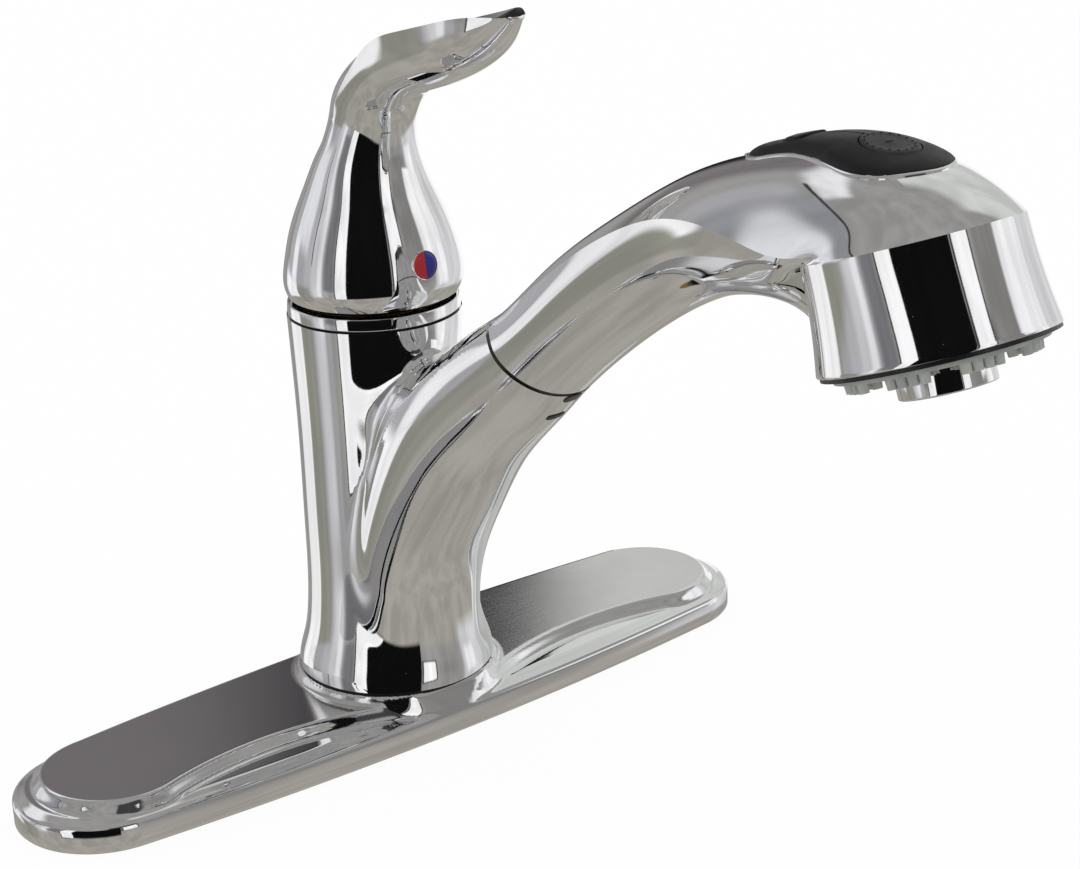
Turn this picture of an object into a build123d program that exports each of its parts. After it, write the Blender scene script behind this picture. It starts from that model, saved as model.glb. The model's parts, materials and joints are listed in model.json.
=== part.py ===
from build123d import *
import os
from math import atan2, cos, radians, sin, sqrt
from typing import NamedTuple

# A deck-mounted single-handle kitchen faucet with a pull-out spray wand, in millimetres.
# X runs along the deck plate, the spout points towards -Y, Z is up and the deck is Z = 0.
# Side-view places are written as (s, z): s is the distance forward of the column axis.

# Deck plate
plate_length = 260.0
plate_width = 62.8
plate_end_radius = 26.2
plate_wall = 2.2
terrace_height = 9.8
shoulder_round = 1.6
wing_height = 12.6
wing_lobe_x = 100.0
wing_lobe_radius = 20.5
wing_waist = 14.0
riser_spread = 2.2
collar_height = 15.2
collar_top_radius = 30.6
collar_foot_radius = 36.0
gasket_thickness = 1.6
carrier_thickness = 3.0
carrier_clearance = 0.15
prop_radius = 4.0
prop_places = (40.0, 80.0)

# Fixings below the deck
stud_spacing = 203.2
stud_radius = 3.0
stud_drop = 42.0
stud_head_radius = 4.6
stud_head_height = 2.4
stud_boss_radius = 6.0
worktop_gap = 12.5
stud_nut_radius = 11.0
stud_nut_height = 8.0
stud_nut_barrel = 6.6
stud_nut_wing = 2.4
shank_radius = 16.5
shank_bore = 13.5
shank_lead_radius = 16.2
shank_lead_top = 34.0
shank_drop = 58.0
shank_engagement = 14.8
rubber_washer_radius = 27.5
rubber_washer_height = 3.0
steel_washer_radius = 26.5
steel_washer_height = 2.0
mounting_nut_radius = 26.0
mounting_nut_height = 9.0
mounting_nut_wings = 6
nut_wing_length = 8.0
nut_wing_width = 3.0
nut_screw_slot = 0.9
nut_screw_radius = 2.5
nut_screw_circle = 21.5
nut_screw_head_radius = 4.2
nut_screw_head_height = 3.0
thread_clearance = 0.05
hole_clearance = 0.5

# Fixed inner post, with the valve cup at its head
post_radius = 20.5
post_bore = 17.5
post_flange_radius = 23.6
post_flange_height = 2.0
window_bottom = 38.0
window_top = 88.0
window_half_angle = 105.0
cup_floor_bottom = 90.0
cup_floor_thickness = 6.0
cup_bore = 17.4
cup_top = 124.0
cup_thread_bottom = 115.5
cup_thread_radius = 19.5
port_circle = 8.0
port_radius = 3.0
nipple_radius = 4.5
nipple_length = 17.0
nipple_seat_depth = 3.0

# Swivel bearings
base_gap = 0.9
running_clearance = 0.05
lower_ring_radius = 24.0
lower_ring_height = 11.3
upper_ring_bottom = 107.0
upper_ring_height = 8.0
upper_ring_ledge = 1.5
upper_ring_ledge_radius = 21.8
seal_ring_radius = 29.2
seal_ring_wall = 5.0
seal_ring_height = 0.8

# Spout body
column_top = 127.4
column_bore = 22.8
column_radii = ((29.97, 16.1), (29.6, 18.8), (27.75, 25.4), (26.1, 35.3), (25.5, 44.0), (25.2, 61.0),
                (25.0, 92.0), (25.4, 113.0), (25.8, 127.4))
casting_wall = 2.5
arm_bore_floor = 36.0

# Valve cartridge, from the cup floor upwards
port_seal_height = 1.0
port_seal_radius = 4.8
base_disc_height = 3.5
cartridge_radius = 17.3
fixed_disc_height = 2.5
fixed_disc_radius = 13.0
moving_disc_height = 1.98
moving_disc_radius = 10.5
disc_clearance = 0.02
disc_carrier_height = 4.5
disc_carrier_radius = 11.0
housing_ledge_bore = 14.2
housing_bore = 15.0
housing_roof = 3.0
housing_mouth = 12.4
rotor_bottom_gap = 1.2
rotor_top_gap = 0.1
rotor_clearance = 0.07
pivot_height = 116.0
pivot_pin_radius = 2.0
pivot_pin_half_length = 9.0
stem_width = 8.0
stem_top = 152.5
stem_shoulder = 112.0
stem_neck_radius = 2.4
stem_ball_radius = 3.0
stem_ball_drop = 7.4
socket_floor = 0.4
socket_clearance = 0.15
slot_side_clearance = 0.1
slot_front = 5.9
slot_back = 7.8
housing_top = 130.0

# Bonnet nut and trim
bonnet_radius = 21.8
bonnet_bottom = 116.0
bonnet_edge = 131.6
bonnet_top = 134.0
bonnet_top_radius = 16.0
bonnet_mouth = 13.0
trim_seal_radius = 24.9
trim_seal_bottom = 127.5
trim_bottom = 128.0
trim_top = 131.56
trim_bottom_radius = 25.6
trim_top_radius = 25.34
trim_edge = 0.3

# Handle
handle_wall = 1.9
handle_rim_wall = 0.8
dome_roof = 160.0
dome_edge_angle = 97.0
boss_radius = 7.5
boss_bottom = 139.0
stem_hole_clearance = 0.05
stem_end_clearance = 0.7
screw_height = 146.0
screw_radius = 2.0
screw_length = 5.6
screw_key_radius = 1.1
screw_key_depth = 2.0
index_radius = 2.4
index_depth = 3.4
index_proud = 0.35
index_clearance = 0.05

# Docking joint between arm and wand
dock_tilt = 41.0
seam_tilt = 50.0
seam_gap = 1.1
flange_thickness = 0.85
flange_inset = 0.5
collar_depth = 16.0
collar_wall = 2.0
collar_clearance = 0.05
spigot_clearance = 0.25
spigot_wall = 1.8
spigot_reach = 13.0
spigot_seat = 10.0
latch_behind_seam = 13.0
latch_width = 5.0
latch_length = 3.2
latch_recess = 0.3
latch_root = 0.7
web_thickness = 3.0
nipple_thread_radius = 6.0
nipple_head_radius = 7.4
nipple_head_length = 10.0
nipple_nose = 6.0
hose_bore = 4.0
check_valve_length = 11.0
check_hole_radius = 1.2
check_hole_circle = 1.9

# Wand head, measured along the head axis from the shoulder circle
head_tilt = 19.49
shoulder_s = 212.45
shoulder_z = 189.65
shoulder_radius = 25.74
shoulder_edge_angle = 82.0
skirt_length = 25.15
rim_radius = 28.02
skirt_radii = ((shoulder_radius, 0.0), (25.9, 6.0), (26.3, 12.0), (26.95, 18.0), (rim_radius, skirt_length))
shell_wall = 2.3
plate_recess_top = 20.0
plate_recess_radius = 25.6
spray_plate_radius = 25.5
spray_flange_radius = 27.3
spray_flange_height = 1.05
head_seal_radius = 24.8
head_seal_cord = 0.75
nozzle_mat_radius = 24.5
nozzle_mat_height = 1.2
nozzle_radius = 1.4
nozzle_tip_radius = 1.15
nozzle_length = 2.5
nozzle_rings = ((21.4, 8, 4, 7.0), (16.9, 8, 2, 9.5))
aerator_radius = 11.48
aerator_drop = 9.32
aerator_thread_radius = 10.6
aerator_thread_length = 5.4
aerator_bore = 9.3
aerator_lip = 0.9
aerator_edge = 0.6
aerator_step = 0.3
aerator_step_clearance = 0.15
insert_clearance = 0.05
insert_recess = 1.2
insert_hole_radius = 0.95
insert_hole_pitch = 2.5
washer_height = 1.6
washer_bore = 6.5

# Diverter, buttons and rocker
diverter_radius = 10.0
diverter_rise = 6.0
diverter_bore_end = 12.0
diverter_chamber = 7.0
spool_radius = 4.0
spool_clearance = 0.1
spool_bottom = 9.0
spool_collar_radius = 5.6
spool_collar_rise = 8.6
spool_collar_height = 1.6
spool_pin_radius = 0.9
spool_pin_half_length = 7.6
spool_seal_cord = 0.5
spool_seal_rise = -3.0
spool_seal_gap = 0.02
button_radius = 6.9
button_clearance = 0.3
button_proud = 0.4
button_flange_radius = 7.9
button_flange_rise = 11.4
button_flange_height = 1.0
bar_s = 177.0
bar_length = 10.0
bar_width = 12.0
bar_corner = 3.0
bar_proud = 0.9
bar_flange = 1.2
bar_flange_top = 199.3
bar_flange_height = 0.9
bar_stem_radius = 2.2
rocker_top = 197.6
rocker_thickness = 1.8
rocker_width = 13.0
rocker_hub_radius = 2.1
rocker_pivot_s = 192.4
rocker_pivot_z = 196.7
rocker_back = 172.5
rocker_front = 210.2
rocker_fork_root = 202.0
rocker_crossbar = 2.5
rocker_fork_gap = 12.4
rocker_fork_width = 15.6
rocker_gap = 0.2
rocker_pin_radius = 1.2
rocker_pin_half_length = 9.0
ear_inner = 7.0
ear_outer = 9.0
ear_half_length = 2.6
ear_bottom = 194.6
waterway_radius = 5.4
waterway_bore = 4.0
waterway_bend = 40.0
waterway_straight = 25.0
waterway_crest_s = 190.0
waterway_crest_z = 188.4
waterway_neck_s = 168.0
waterway_neck_z = 185.5
waterway_end_drop = 5.75

# Soft thumb pad
pad_thickness = 2.7
pad_floor = 192.0
pad_tail_s = 158.8
pad_tail_half_width = 7.5
pad_nose_s = 220.2
pad_waist_s = 180.0
pad_widest_s = 206.0
pad_half_width = 13.3


class Section(NamedTuple):
    """One cross-section of a cast form, drawn in a plane that holds the X axis.

    The lowest or foremost point of the section is at (s, z) and the plane leans back by tilt.
    The other places are (x, u) pairs, where u is the distance up the leaning plane.
    """

    s: float
    z: float
    tilt: float
    height: float
    top: tuple
    edge: tuple
    side: tuple
    low: tuple


class Ring(NamedTuple):
    """A round cross-section, placed as a Section is. Its edge angle is counted from (s, z)."""

    s: float
    z: float
    tilt: float
    radius: float
    edge_angle: float


def dome_ring(z, radius, centre_s):
    """A level ring of the handle's dome."""
    return Ring(centre_s + radius, z, 90.0, radius, dome_edge_angle)


# Sections of the arm, from its foot on the column to the seam
arm_foot = (
    Section(29.0, 18.0, 90, 24.0, (10.0, 22.6), (14.0, 19.0), (16.0, 11.0), (11.4, 3.4)),
    Section(28.8, 31.0, 86, 27.0, (10.0, 25.6), (16.5, 22.0), (18.6, 13.0), (13.6, 4.4)),
    Section(31.5, 50.0, 79, 30.0, (10.0, 28.6), (18.5, 25.0), (21.0, 15.0), (15.6, 5.2)),
    Section(43.5, 71.0, 69, 34.0, (9.5, 32.6), (19.0, 28.5), (21.6, 17.0), (15.4, 5.4)),
    Section(59.5, 92.0, 58, 37.0, (9.0, 35.6), (17.5, 31.0), (20.4, 18.5), (14.0, 5.4)),
)
arm_neck = Section(78.5, 110.0, 48, 34.0, (8.5, 32.8), (15.5, 28.5), (18.2, 18.0), (12.6, 5.2))
seam = Section(92.6, 123.3, 41, 29.5, (8.0, 28.4), (14.0, 25.5), (17.0, 16.5), (12.0, 5.0))

# Sections of the wand, from the seam to the head
wand_grip = Section(112.0, 139.0, 35, 29.5, (8.5, 28.4), (15.0, 24.6), (17.3, 16.0), (12.2, 5.0))
wand_neck = (
    Section(134.0, 154.0, 27, 29.5, (9.0, 28.2), (16.8, 23.8), (17.8, 15.5), (12.4, 4.8)),
    Section(153.5, 163.8, 17, 31.5, (9.8, 29.4), (19.0, 22.6), (18.6, 14.5), (12.6, 4.4)),
    Section(168.0, 167.6, 4, 34.5, (11.0, 31.2), (21.3, 20.5), (19.6, 13.5), (12.8, 4.0)),
    Section(178.5, 170.0, -14, 38.5, (13.2, 34.0), (23.4, 17.5), (20.8, 12.0), (13.0, 3.8)),
    Section(185.0, 173.6, -40, 44.5, (16.6, 38.4), (25.0, 17.5), (22.0, 12.0), (13.4, 3.9)),
)

shoulder = Ring(shoulder_s - shoulder_radius * cos(radians(head_tilt)),
                shoulder_z - shoulder_radius * sin(radians(head_tilt)),
                head_tilt - 90.0, shoulder_radius, shoulder_edge_angle)

# Sections of the handle: level rings of the dome, then the neck and the lever
dome_rings = ((133.4, 25.2, 0.3), (138.0, 26.5, 0.9), (145.3, 25.6, 1.2), (152.4, 23.8, 1.1),
              (159.6, 21.1, 1.0), (166.7, 18.0, 1.0), (174.0, 15.2, 1.8), (181.0, 13.2, 4.0))
lever_sections = (
    Section(19.6, 188.0, 72, 22.5, (8.6, 20.5), (12.9, 14.0), (12.3, 8.5), (7.6, 2.2)),
    Section(26.0, 194.0, 48, 18.0, (8.0, 17.4), (13.0, 14.0), (12.8, 8.5), (8.2, 2.4)),
    Section(35.5, 197.6, 30, 16.0, (8.6, 16.4), (14.4, 16.4), (13.4, 8.8), (8.6, 2.4)),
    Section(46.5, 201.3, 24, 14.0, (9.0, 14.8), (14.8, 16.2), (13.6, 8.8), (8.8, 2.4)),
    Section(57.0, 206.2, 22, 11.0, (8.4, 12.0), (13.6, 14.0), (12.4, 7.6), (8.0, 2.1)),
    Section(66.0, 212.5, 20, 8.0, (6.4, 8.8), (10.0, 9.8), (8.8, 5.2), (5.6, 1.4)),
    Section(73.0, 219.0, 18, 3.0, (2.4, 3.2), (3.6, 3.4), (3.0, 1.8), (1.9, 0.5)),
)

parts = {}


def direction(tilt):
    """Unit vector that climbs forward at an angle above the level."""
    return Vector(0, -cos(radians(tilt)), sin(radians(tilt)))


def at(s, z, x=0.0):
    """Point from its side-view place."""
    return Vector(x, -s, z)


def leaning(s, z, tilt):
    """Plane whose X is the object's X and whose Y climbs up a section that leans back by tilt."""
    return Plane(origin=at(s, z), x_dir=(1, 0, 0), z_dir=direction(tilt))


def ring_outline(form, inset=0.0):
    """Flat face of a ring, drawn smaller all round by inset."""
    radius = form.radius - inset
    edge_x = radius * sin(radians(form.edge_angle))
    edge_u = form.radius - radius * cos(radians(form.edge_angle))
    upper = ThreePointArc((-edge_x, edge_u), (0, form.radius + radius), (edge_x, edge_u))
    lower = ThreePointArc((edge_x, edge_u), (0, inset), (-edge_x, edge_u))
    return make_face([upper, lower])


def section_outline(form, inset=0.0):
    """Flat face of a section, drawn smaller all round by inset."""
    across = 1 - inset / form.side[0]
    upward = (form.height - 2 * inset) / form.height

    def place(pair, mirror=1):
        return (mirror * pair[0] * across, inset + pair[1] * upward)

    crown = (0, inset + form.height * upward)
    keel = (0, inset)
    upper = Spline(place(form.edge, -1), place(form.top, -1), crown, place(form.top), place(form.edge))
    lower = Spline(place(form.edge), place(form.side), place(form.low), keel,
                   place(form.low, -1), place(form.side, -1), place(form.edge, -1))
    return make_face([upper, lower])


def section_face(form, inset=0.0):
    """Section or ring face at its place in the object."""
    outline = ring_outline if isinstance(form, Ring) else section_outline
    return leaning(form.s, form.z, form.tilt) * outline(form, inset)


def cast_form(forms, inset=0.0):
    """Solid that runs smoothly through a row of sections."""
    return loft([section_face(form, inset) for form in forms])


def seam_prism(inset, back, front):
    """Straight bar with the seam's section, from back to front along the docking direction."""
    start = at(seam.s, seam.z) + direction(dock_tilt) * back
    plane = Plane(origin=start, x_dir=(1, 0, 0), z_dir=direction(dock_tilt))
    return plane * extrude(section_outline(seam, inset), amount=front - back)


def ahead_of_seam(offset):
    """Large block that holds everything ahead of the seam plane moved forward by offset."""
    origin = at(seam.s, seam.z) + direction(seam_tilt) * offset
    plane = Plane(origin=origin, x_dir=(1, 0, 0), z_dir=direction(seam_tilt))
    return plane * Box(400, 400, 400, align=(Align.CENTER, Align.CENTER, Align.MIN))


def disc(radius, bottom, top, x=0.0, y=0.0):
    """Upright cylinder between two heights."""
    cylinder = Cylinder(radius, top - bottom, align=(Align.CENTER, Align.CENTER, Align.MIN))
    return Pos(x, y, bottom) * cylinder


def tube(radius, bore, bottom, top, x=0.0, y=0.0):
    """Upright tube between two heights."""
    return disc(radius, bottom, top, x, y) - disc(bore, bottom - 1, top + 1, x, y)


def turned(*profile):
    """Solid of revolution about Z from straight-sided (radius, height) corners."""
    corners = [(radius, 0, height) for radius, height in profile]
    return revolve(make_face(Polyline(*corners, close=True)), Axis.Z)


def cross_pin(radius, half_length, s, z):
    """Cylinder along X, centred on the middle plane."""
    return Pos(0, -s, z) * Rot(0, 90, 0) * Cylinder(radius, 2 * half_length)


head_down = Vector(0, -sin(radians(head_tilt)), -cos(radians(head_tilt)))
head_frame = Plane(origin=at(shoulder_s, shoulder_z), x_dir=(1, 0, 0), z_dir=head_down)
head_rise = Plane(origin=at(shoulder_s, shoulder_z), x_dir=(1, 0, 0), z_dir=-head_down)


def head_disc(radius, start, end):
    """Cylinder on the head axis, between two distances below the shoulder."""
    return head_frame * disc(radius, start, end)


def head_tube(radius, bore, start, end):
    """Tube on the head axis, between two distances below the shoulder."""
    return head_frame * tube(radius, bore, start, end)


# Deck plate
def plate_outline(inset=0.0):
    """Four-arc oval of the plate, drawn smaller all round by inset."""
    half_length = plate_length / 2
    half_width = plate_width / 2
    side_radius = (half_length**2 - 2 * half_length * plate_end_radius + half_width**2) / (
        2 * (half_width - plate_end_radius))
    end_x = half_length - plate_end_radius
    side_y = half_width - side_radius
    lean = atan2(-side_y, end_x)
    joint_x = (side_radius - inset) * cos(lean)
    joint_y = side_y + (side_radius - inset) * sin(lean)
    tip_x = half_length - inset
    crown_y = half_width - inset
    return make_face([
        ThreePointArc((-joint_x, joint_y), (0, crown_y), (joint_x, joint_y)),
        ThreePointArc((joint_x, joint_y), (tip_x, 0), (joint_x, -joint_y)),
        ThreePointArc((joint_x, -joint_y), (0, -crown_y), (-joint_x, -joint_y)),
        ThreePointArc((-joint_x, -joint_y), (-tip_x, 0), (-joint_x, joint_y)),
    ])


def wing_outline(grow=0.0):
    """Waisted outline of the raised top: two lobes and a middle circle, joined by hollow arcs."""
    lobe = wing_lobe_radius + grow
    middle = collar_top_radius + grow
    waist = wing_waist + grow
    share = (middle - lobe) / wing_lobe_x
    foot = (wing_lobe_x**2 + middle**2 - lobe**2) / (2 * wing_lobe_x)
    half_term = share * foot + waist - middle
    hollow = (-half_term - sqrt(half_term**2 - share**2 * (foot**2 + waist**2 - middle**2))) / share**2
    centre_x = foot + share * hollow
    centre_y = waist + hollow
    near = (centre_x * middle / (middle + hollow), centre_y * middle / (middle + hollow))
    far_share = lobe / (lobe + hollow)
    far = (wing_lobe_x + (centre_x - wing_lobe_x) * far_share, centre_y * far_share)
    edges = [
        ThreePointArc((-near[0], near[1]), (0, middle), (near[0], near[1])),
        ThreePointArc((-near[0], -near[1]), (0, -middle), (near[0], -near[1])),
    ]
    for side in (-1, 1):
        tip = (side * (wing_lobe_x + lobe), 0)
        edges.append(ThreePointArc((side * far[0], far[1]), tip, (side * far[0], -far[1])))
        for up in (-1, 1):
            edges.append(ThreePointArc((side * near[0], up * near[1]), (side * centre_x, up * waist),
                                       (side * far[0], up * far[1])))
    return make_face(edges)


def make_deck_plate():
    """Hollow chromed plate with a terrace, raised wings and a round collar."""
    outline = extrude(plate_outline(), amount=collar_height + 5)
    slab = extrude(plate_outline(), amount=terrace_height)
    slab = fillet(slab.faces().sort_by(Axis.Z)[-1].edges(), shoulder_round)
    wings = loft([Pos(0, 0, terrace_height - shoulder_round) * wing_outline(riser_spread),
                  Pos(0, 0, wing_height) * wing_outline()])
    flare = ThreePointArc((collar_foot_radius, 0, wing_height - 0.4),
                          (collar_top_radius + 1.4, 0, wing_height + 0.6),
                          (collar_top_radius, 0, collar_height))
    collar_side = Polyline((collar_top_radius, 0, collar_height), (0, 0, collar_height), (0, 0, 4),
                           (collar_foot_radius, 0, 4), (collar_foot_radius, 0, wing_height - 0.4))
    collar = revolve(make_face([flare, collar_side]), Axis.Z)
    solid = slab + (wings & outline) + (collar & outline)
    ceiling = terrace_height - plate_wall
    solid -= extrude(plate_outline(plate_wall), amount=ceiling)
    solid -= extrude(wing_outline(-plate_wall), amount=wing_height - plate_wall)
    solid -= disc(collar_top_radius - plate_wall, 0, collar_height - plate_wall)
    return solid - disc(shank_radius + hole_clearance, 0, collar_height + 1)


def make_plate_carrier():
    """Plastic under-plate that props the chromed plate and holds the studs."""
    bottom = gasket_thickness
    top = bottom + carrier_thickness
    outline = plate_outline(plate_wall + carrier_clearance)
    solid = Pos(0, 0, bottom) * extrude(outline, amount=carrier_thickness)
    for x in prop_places:
        for side in (-1, 1):
            solid += disc(prop_radius, bottom, wing_height - plate_wall, side * x)
    for side in (-1, 1):
        solid += disc(stud_boss_radius, bottom, wing_height - plate_wall, side * stud_spacing / 2)
        solid -= disc(stud_radius, 0, collar_height, side * stud_spacing / 2)
        head_top = top + stud_head_height
        solid -= disc(stud_head_radius, top, head_top, side * stud_spacing / 2)
    solid += disc(post_flange_radius, bottom, collar_height - plate_wall)
    return solid - disc(shank_radius + hole_clearance, 0, collar_height)


def make_deck_gasket():
    """Foam gasket between the plate and the deck."""
    solid = extrude(plate_outline(plate_wall + carrier_clearance), amount=gasket_thickness)
    solid -= disc(shank_radius + hole_clearance, -1, gasket_thickness + 1)
    for side in (-1, 1):
        solid -= disc(stud_radius + hole_clearance, -1, gasket_thickness + 1, side * stud_spacing / 2)
    return solid


def make_plate_studs():
    """Pair of threaded studs that hang from the carrier's bosses."""
    seat = gasket_thickness + carrier_thickness
    studs = []
    for side in (-1, 1):
        x = side * stud_spacing / 2
        head = disc(stud_head_radius, seat, seat + stud_head_height, x)
        studs.append(disc(stud_radius, -stud_drop, seat, x) + head)
    return studs


def make_stud_nuts():
    """Pair of winged plastic nuts that pull the studs against the deck's underside."""
    nuts = []
    for side in (-1, 1):
        x = side * stud_spacing / 2
        body = disc(stud_nut_barrel, -worktop_gap - stud_nut_height, -worktop_gap, x)
        body += disc(stud_nut_radius, -worktop_gap - stud_nut_height / 4, -worktop_gap, x)
        hanging = (Align.CENTER, Align.CENTER, Align.MAX)
        wing = Box(2 * stud_nut_radius, stud_nut_wing, stud_nut_height, align=hanging)
        body += Pos(x, 0, -worktop_gap) * wing
        nuts.append(body - disc(stud_radius + thread_clearance, -stud_drop, 0, x))
    return nuts


# Shank and its clamping parts
def make_mounting_shank():
    """Threaded hollow shank that hangs from the post through the deck hole, with a plain lead-in end."""
    solid = disc(shank_radius, -shank_lead_top, collar_height + shank_engagement)
    solid += disc(shank_lead_radius, -shank_drop, -shank_lead_top)
    return solid - disc(shank_bore, -shank_drop - 1, collar_height + shank_engagement + 1)


def clamp_ring(radius, top, height):
    """Ring round the shank below the deck."""
    return tube(radius, shank_radius + thread_clearance, top - height, top)


steel_washer_top = -worktop_gap - rubber_washer_height
nut_top = steel_washer_top - steel_washer_height
nut_bottom = nut_top - mounting_nut_height


def make_mounting_nut():
    """Plastic clamping nut with a ring of wings and two screw holes."""
    solid = disc(mounting_nut_radius * 0.8, nut_bottom, nut_top)
    solid += disc(mounting_nut_radius, nut_top - mounting_nut_height / 3, nut_top)
    hanging = (Align.MAX, Align.CENTER, Align.MAX)
    wing = Pos(mounting_nut_radius, 0, 0) * Box(
        nut_wing_length, nut_wing_width, mounting_nut_height, align=hanging)
    for turn in range(mounting_nut_wings):
        solid += Pos(0, 0, nut_top) * Rot(0, 0, 360 / mounting_nut_wings * turn) * wing
    solid -= disc(shank_radius + thread_clearance, nut_bottom - 1, nut_top + 1)
    for side in (-1, 1):
        solid -= disc(nut_screw_radius, nut_bottom - 1, nut_top + 1, 0, side * nut_screw_circle)
    return solid


def make_nut_screws():
    """Two screws that press the steel washer up from the mounting nut."""
    screws = []
    for side in (-1, 1):
        y = side * nut_screw_circle
        shaft = disc(nut_screw_radius, nut_bottom, nut_top, 0, y)
        head_bottom = nut_bottom - nut_screw_head_height
        head = disc(nut_screw_head_radius, head_bottom, nut_bottom, 0, y)
        slot = Pos(0, y, head_bottom) * Box(
            2 * nut_screw_head_radius, nut_screw_slot, nut_screw_head_height)
        screws.append(shaft + head - slot)
    return screws


# Fixed post and bearings
def make_valve_post():
    """Brass post: a flange, an open back frame for the hose and the valve cup."""
    bottom = collar_height
    solid = disc(post_flange_radius, bottom, bottom + post_flange_height)
    solid += disc(post_radius, bottom, cup_thread_bottom)
    solid += disc(cup_thread_radius, cup_thread_bottom - 1, cup_top)
    solid += disc(upper_ring_ledge_radius, upper_ring_bottom - upper_ring_ledge, upper_ring_bottom)
    solid -= disc(shank_radius + thread_clearance, bottom - 1, bottom + shank_engagement)
    solid -= disc(post_bore, bottom + shank_engagement, cup_floor_bottom)
    solid -= disc(cup_bore, cup_floor_bottom + cup_floor_thickness, cup_top + 1)
    reach = 2 * post_radius
    side_x = reach * sin(radians(window_half_angle))
    side_y = -reach * cos(radians(window_half_angle))
    wedge = make_face([
        Line((0, 0), (-side_x, side_y)),
        ThreePointArc((-side_x, side_y), (0, -reach), (side_x, side_y)),
        Line((side_x, side_y), (0, 0)),
    ])
    solid -= Pos(0, 0, window_bottom) * extrude(wedge, amount=window_top - window_bottom)
    for x, y in port_places():
        solid -= disc(port_radius, cup_floor_bottom - 1, cup_floor_bottom + cup_floor_thickness + 1, x, y)
        solid -= disc(nipple_radius, cup_floor_bottom - 1, cup_floor_bottom + nipple_seat_depth, x, y)
    return solid


def port_places():
    """Hot inlet, cold inlet and mixed outlet on the port circle."""
    angles = (210.0, 330.0, 90.0)
    return [(port_circle * cos(radians(angle)), port_circle * sin(radians(angle))) for angle in angles]


def make_inlet_nipples():
    """Three nipples under the valve cup, for the two supplies and the outlet hose."""
    top = cup_floor_bottom + nipple_seat_depth
    nipples = []
    for x, y in port_places():
        body = disc(nipple_radius, top - nipple_length, top, x, y)
        body += disc(nipple_radius + 0.6, top - nipple_length + 2, top - nipple_length + 4, x, y)
        nipples.append(body - disc(port_radius, top - nipple_length - 1, top + 1, x, y))
    return nipples


def make_base_seal_ring():
    """Black ring in the gap below the turning body."""
    top = collar_height + seal_ring_height
    return tube(seal_ring_radius, seal_ring_radius - seal_ring_wall, collar_height, top)


def make_lower_glide_ring():
    """Plastic bearing ring near the foot of the post."""
    bottom = collar_height + post_flange_height
    return tube(lower_ring_radius, post_radius + running_clearance, bottom, bottom + lower_ring_height)


def make_upper_glide_ring():
    """Plastic bearing ring on the valve cup."""
    return tube(column_bore - running_clearance, post_radius + running_clearance,
                upper_ring_bottom, upper_ring_bottom + upper_ring_height)


# Spout body and docking collar
arm_forms = arm_foot + (arm_neck, seam, wand_grip)
wand_forms = (arm_neck, seam, wand_grip) + wand_neck + (shoulder,)


def make_spout_body():
    """Column and arm in one hollow casting."""
    side = Spline(*[(radius, 0, height) for radius, height in column_radii])
    frame = Polyline((column_radii[-1][0], 0, column_top), (0, 0, column_top), (0, 0, column_radii[0][1]),
                     (column_radii[0][0], 0, column_radii[0][1]))
    column = revolve(make_face([side, frame]), Axis.Z)
    solid = column + (cast_form(arm_forms) - ahead_of_seam(0))
    base = collar_height + base_gap
    seat = lower_ring_radius + running_clearance
    seat_top = collar_height + post_flange_height + lower_ring_height + 0.5
    solid -= turned((0, base - 1), (seat, base - 1), (seat, seat_top), (column_bore, seat_top + 2),
                    (column_bore, column_top + 1), (0, column_top + 1))
    inner = cast_form(arm_forms, casting_wall) & Pos(0, 0, arm_bore_floor) * Box(
        400, 400, 400, align=(Align.CENTER, Align.CENTER, Align.MIN))
    solid -= inner
    solid -= seam_prism(casting_wall, -collar_depth - 1, 12)
    return solid - latch_block(-2 * casting_wall, casting_wall + 1, 0.0)


def latch_block(bottom, top, shrink):
    """Block through the underside of the arm where the collar's lug snaps in."""
    origin = at(seam.s, seam.z) + direction(dock_tilt) * -latch_behind_seam
    plane = Plane(origin=origin, x_dir=(1, 0, 0), z_dir=direction(dock_tilt))
    block = Box(latch_width - 2 * shrink, top - bottom, latch_length - 2 * shrink,
                align=(Align.CENTER, Align.MIN, Align.CENTER))
    return plane * Pos(0, bottom, 0) * block


def make_docking_collar():
    """Black plastic liner in the mouth of the arm, with a thin lip that shows in the seam."""
    liner = seam_prism(casting_wall + collar_clearance, -collar_depth, 12) - ahead_of_seam(0)
    lip = (seam_prism(flange_inset, -8, 12) & ahead_of_seam(0)) - ahead_of_seam(flange_thickness)
    solid = liner + lip
    solid += latch_block(latch_recess, casting_wall + latch_root, collar_clearance)
    return solid - seam_prism(casting_wall + collar_wall, -collar_depth - 20, 20)


# Cartridge
seal_top = cup_floor_bottom + cup_floor_thickness + port_seal_height
base_disc_top = seal_top + base_disc_height
fixed_disc_top = base_disc_top + fixed_disc_height
moving_disc_bottom = fixed_disc_top + disc_clearance
disc_carrier_bottom = moving_disc_bottom + moving_disc_height
disc_carrier_top = disc_carrier_bottom + disc_carrier_height
rotor_bottom = disc_carrier_top + rotor_bottom_gap
rotor_top = housing_top - housing_roof - rotor_top_gap


def make_port_seals():
    """Three rubber rings between the cup floor and the cartridge."""
    bottom = cup_floor_bottom + cup_floor_thickness
    return [tube(port_seal_radius, port_radius, bottom, seal_top, x, y) for x, y in port_places()]


def with_ports(solid, bottom, top):
    """Drill the three ports through a disc."""
    for x, y in port_places():
        solid -= disc(port_radius, bottom - 1, top + 1, x, y)
    return solid


def make_cartridge_base():
    """Plastic base disc of the cartridge."""
    return with_ports(disc(cartridge_radius, seal_top, base_disc_top), seal_top, base_disc_top)


def make_fixed_disc():
    """Lower ceramic disc."""
    return with_ports(disc(fixed_disc_radius, base_disc_top, fixed_disc_top), base_disc_top, fixed_disc_top)


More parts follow.
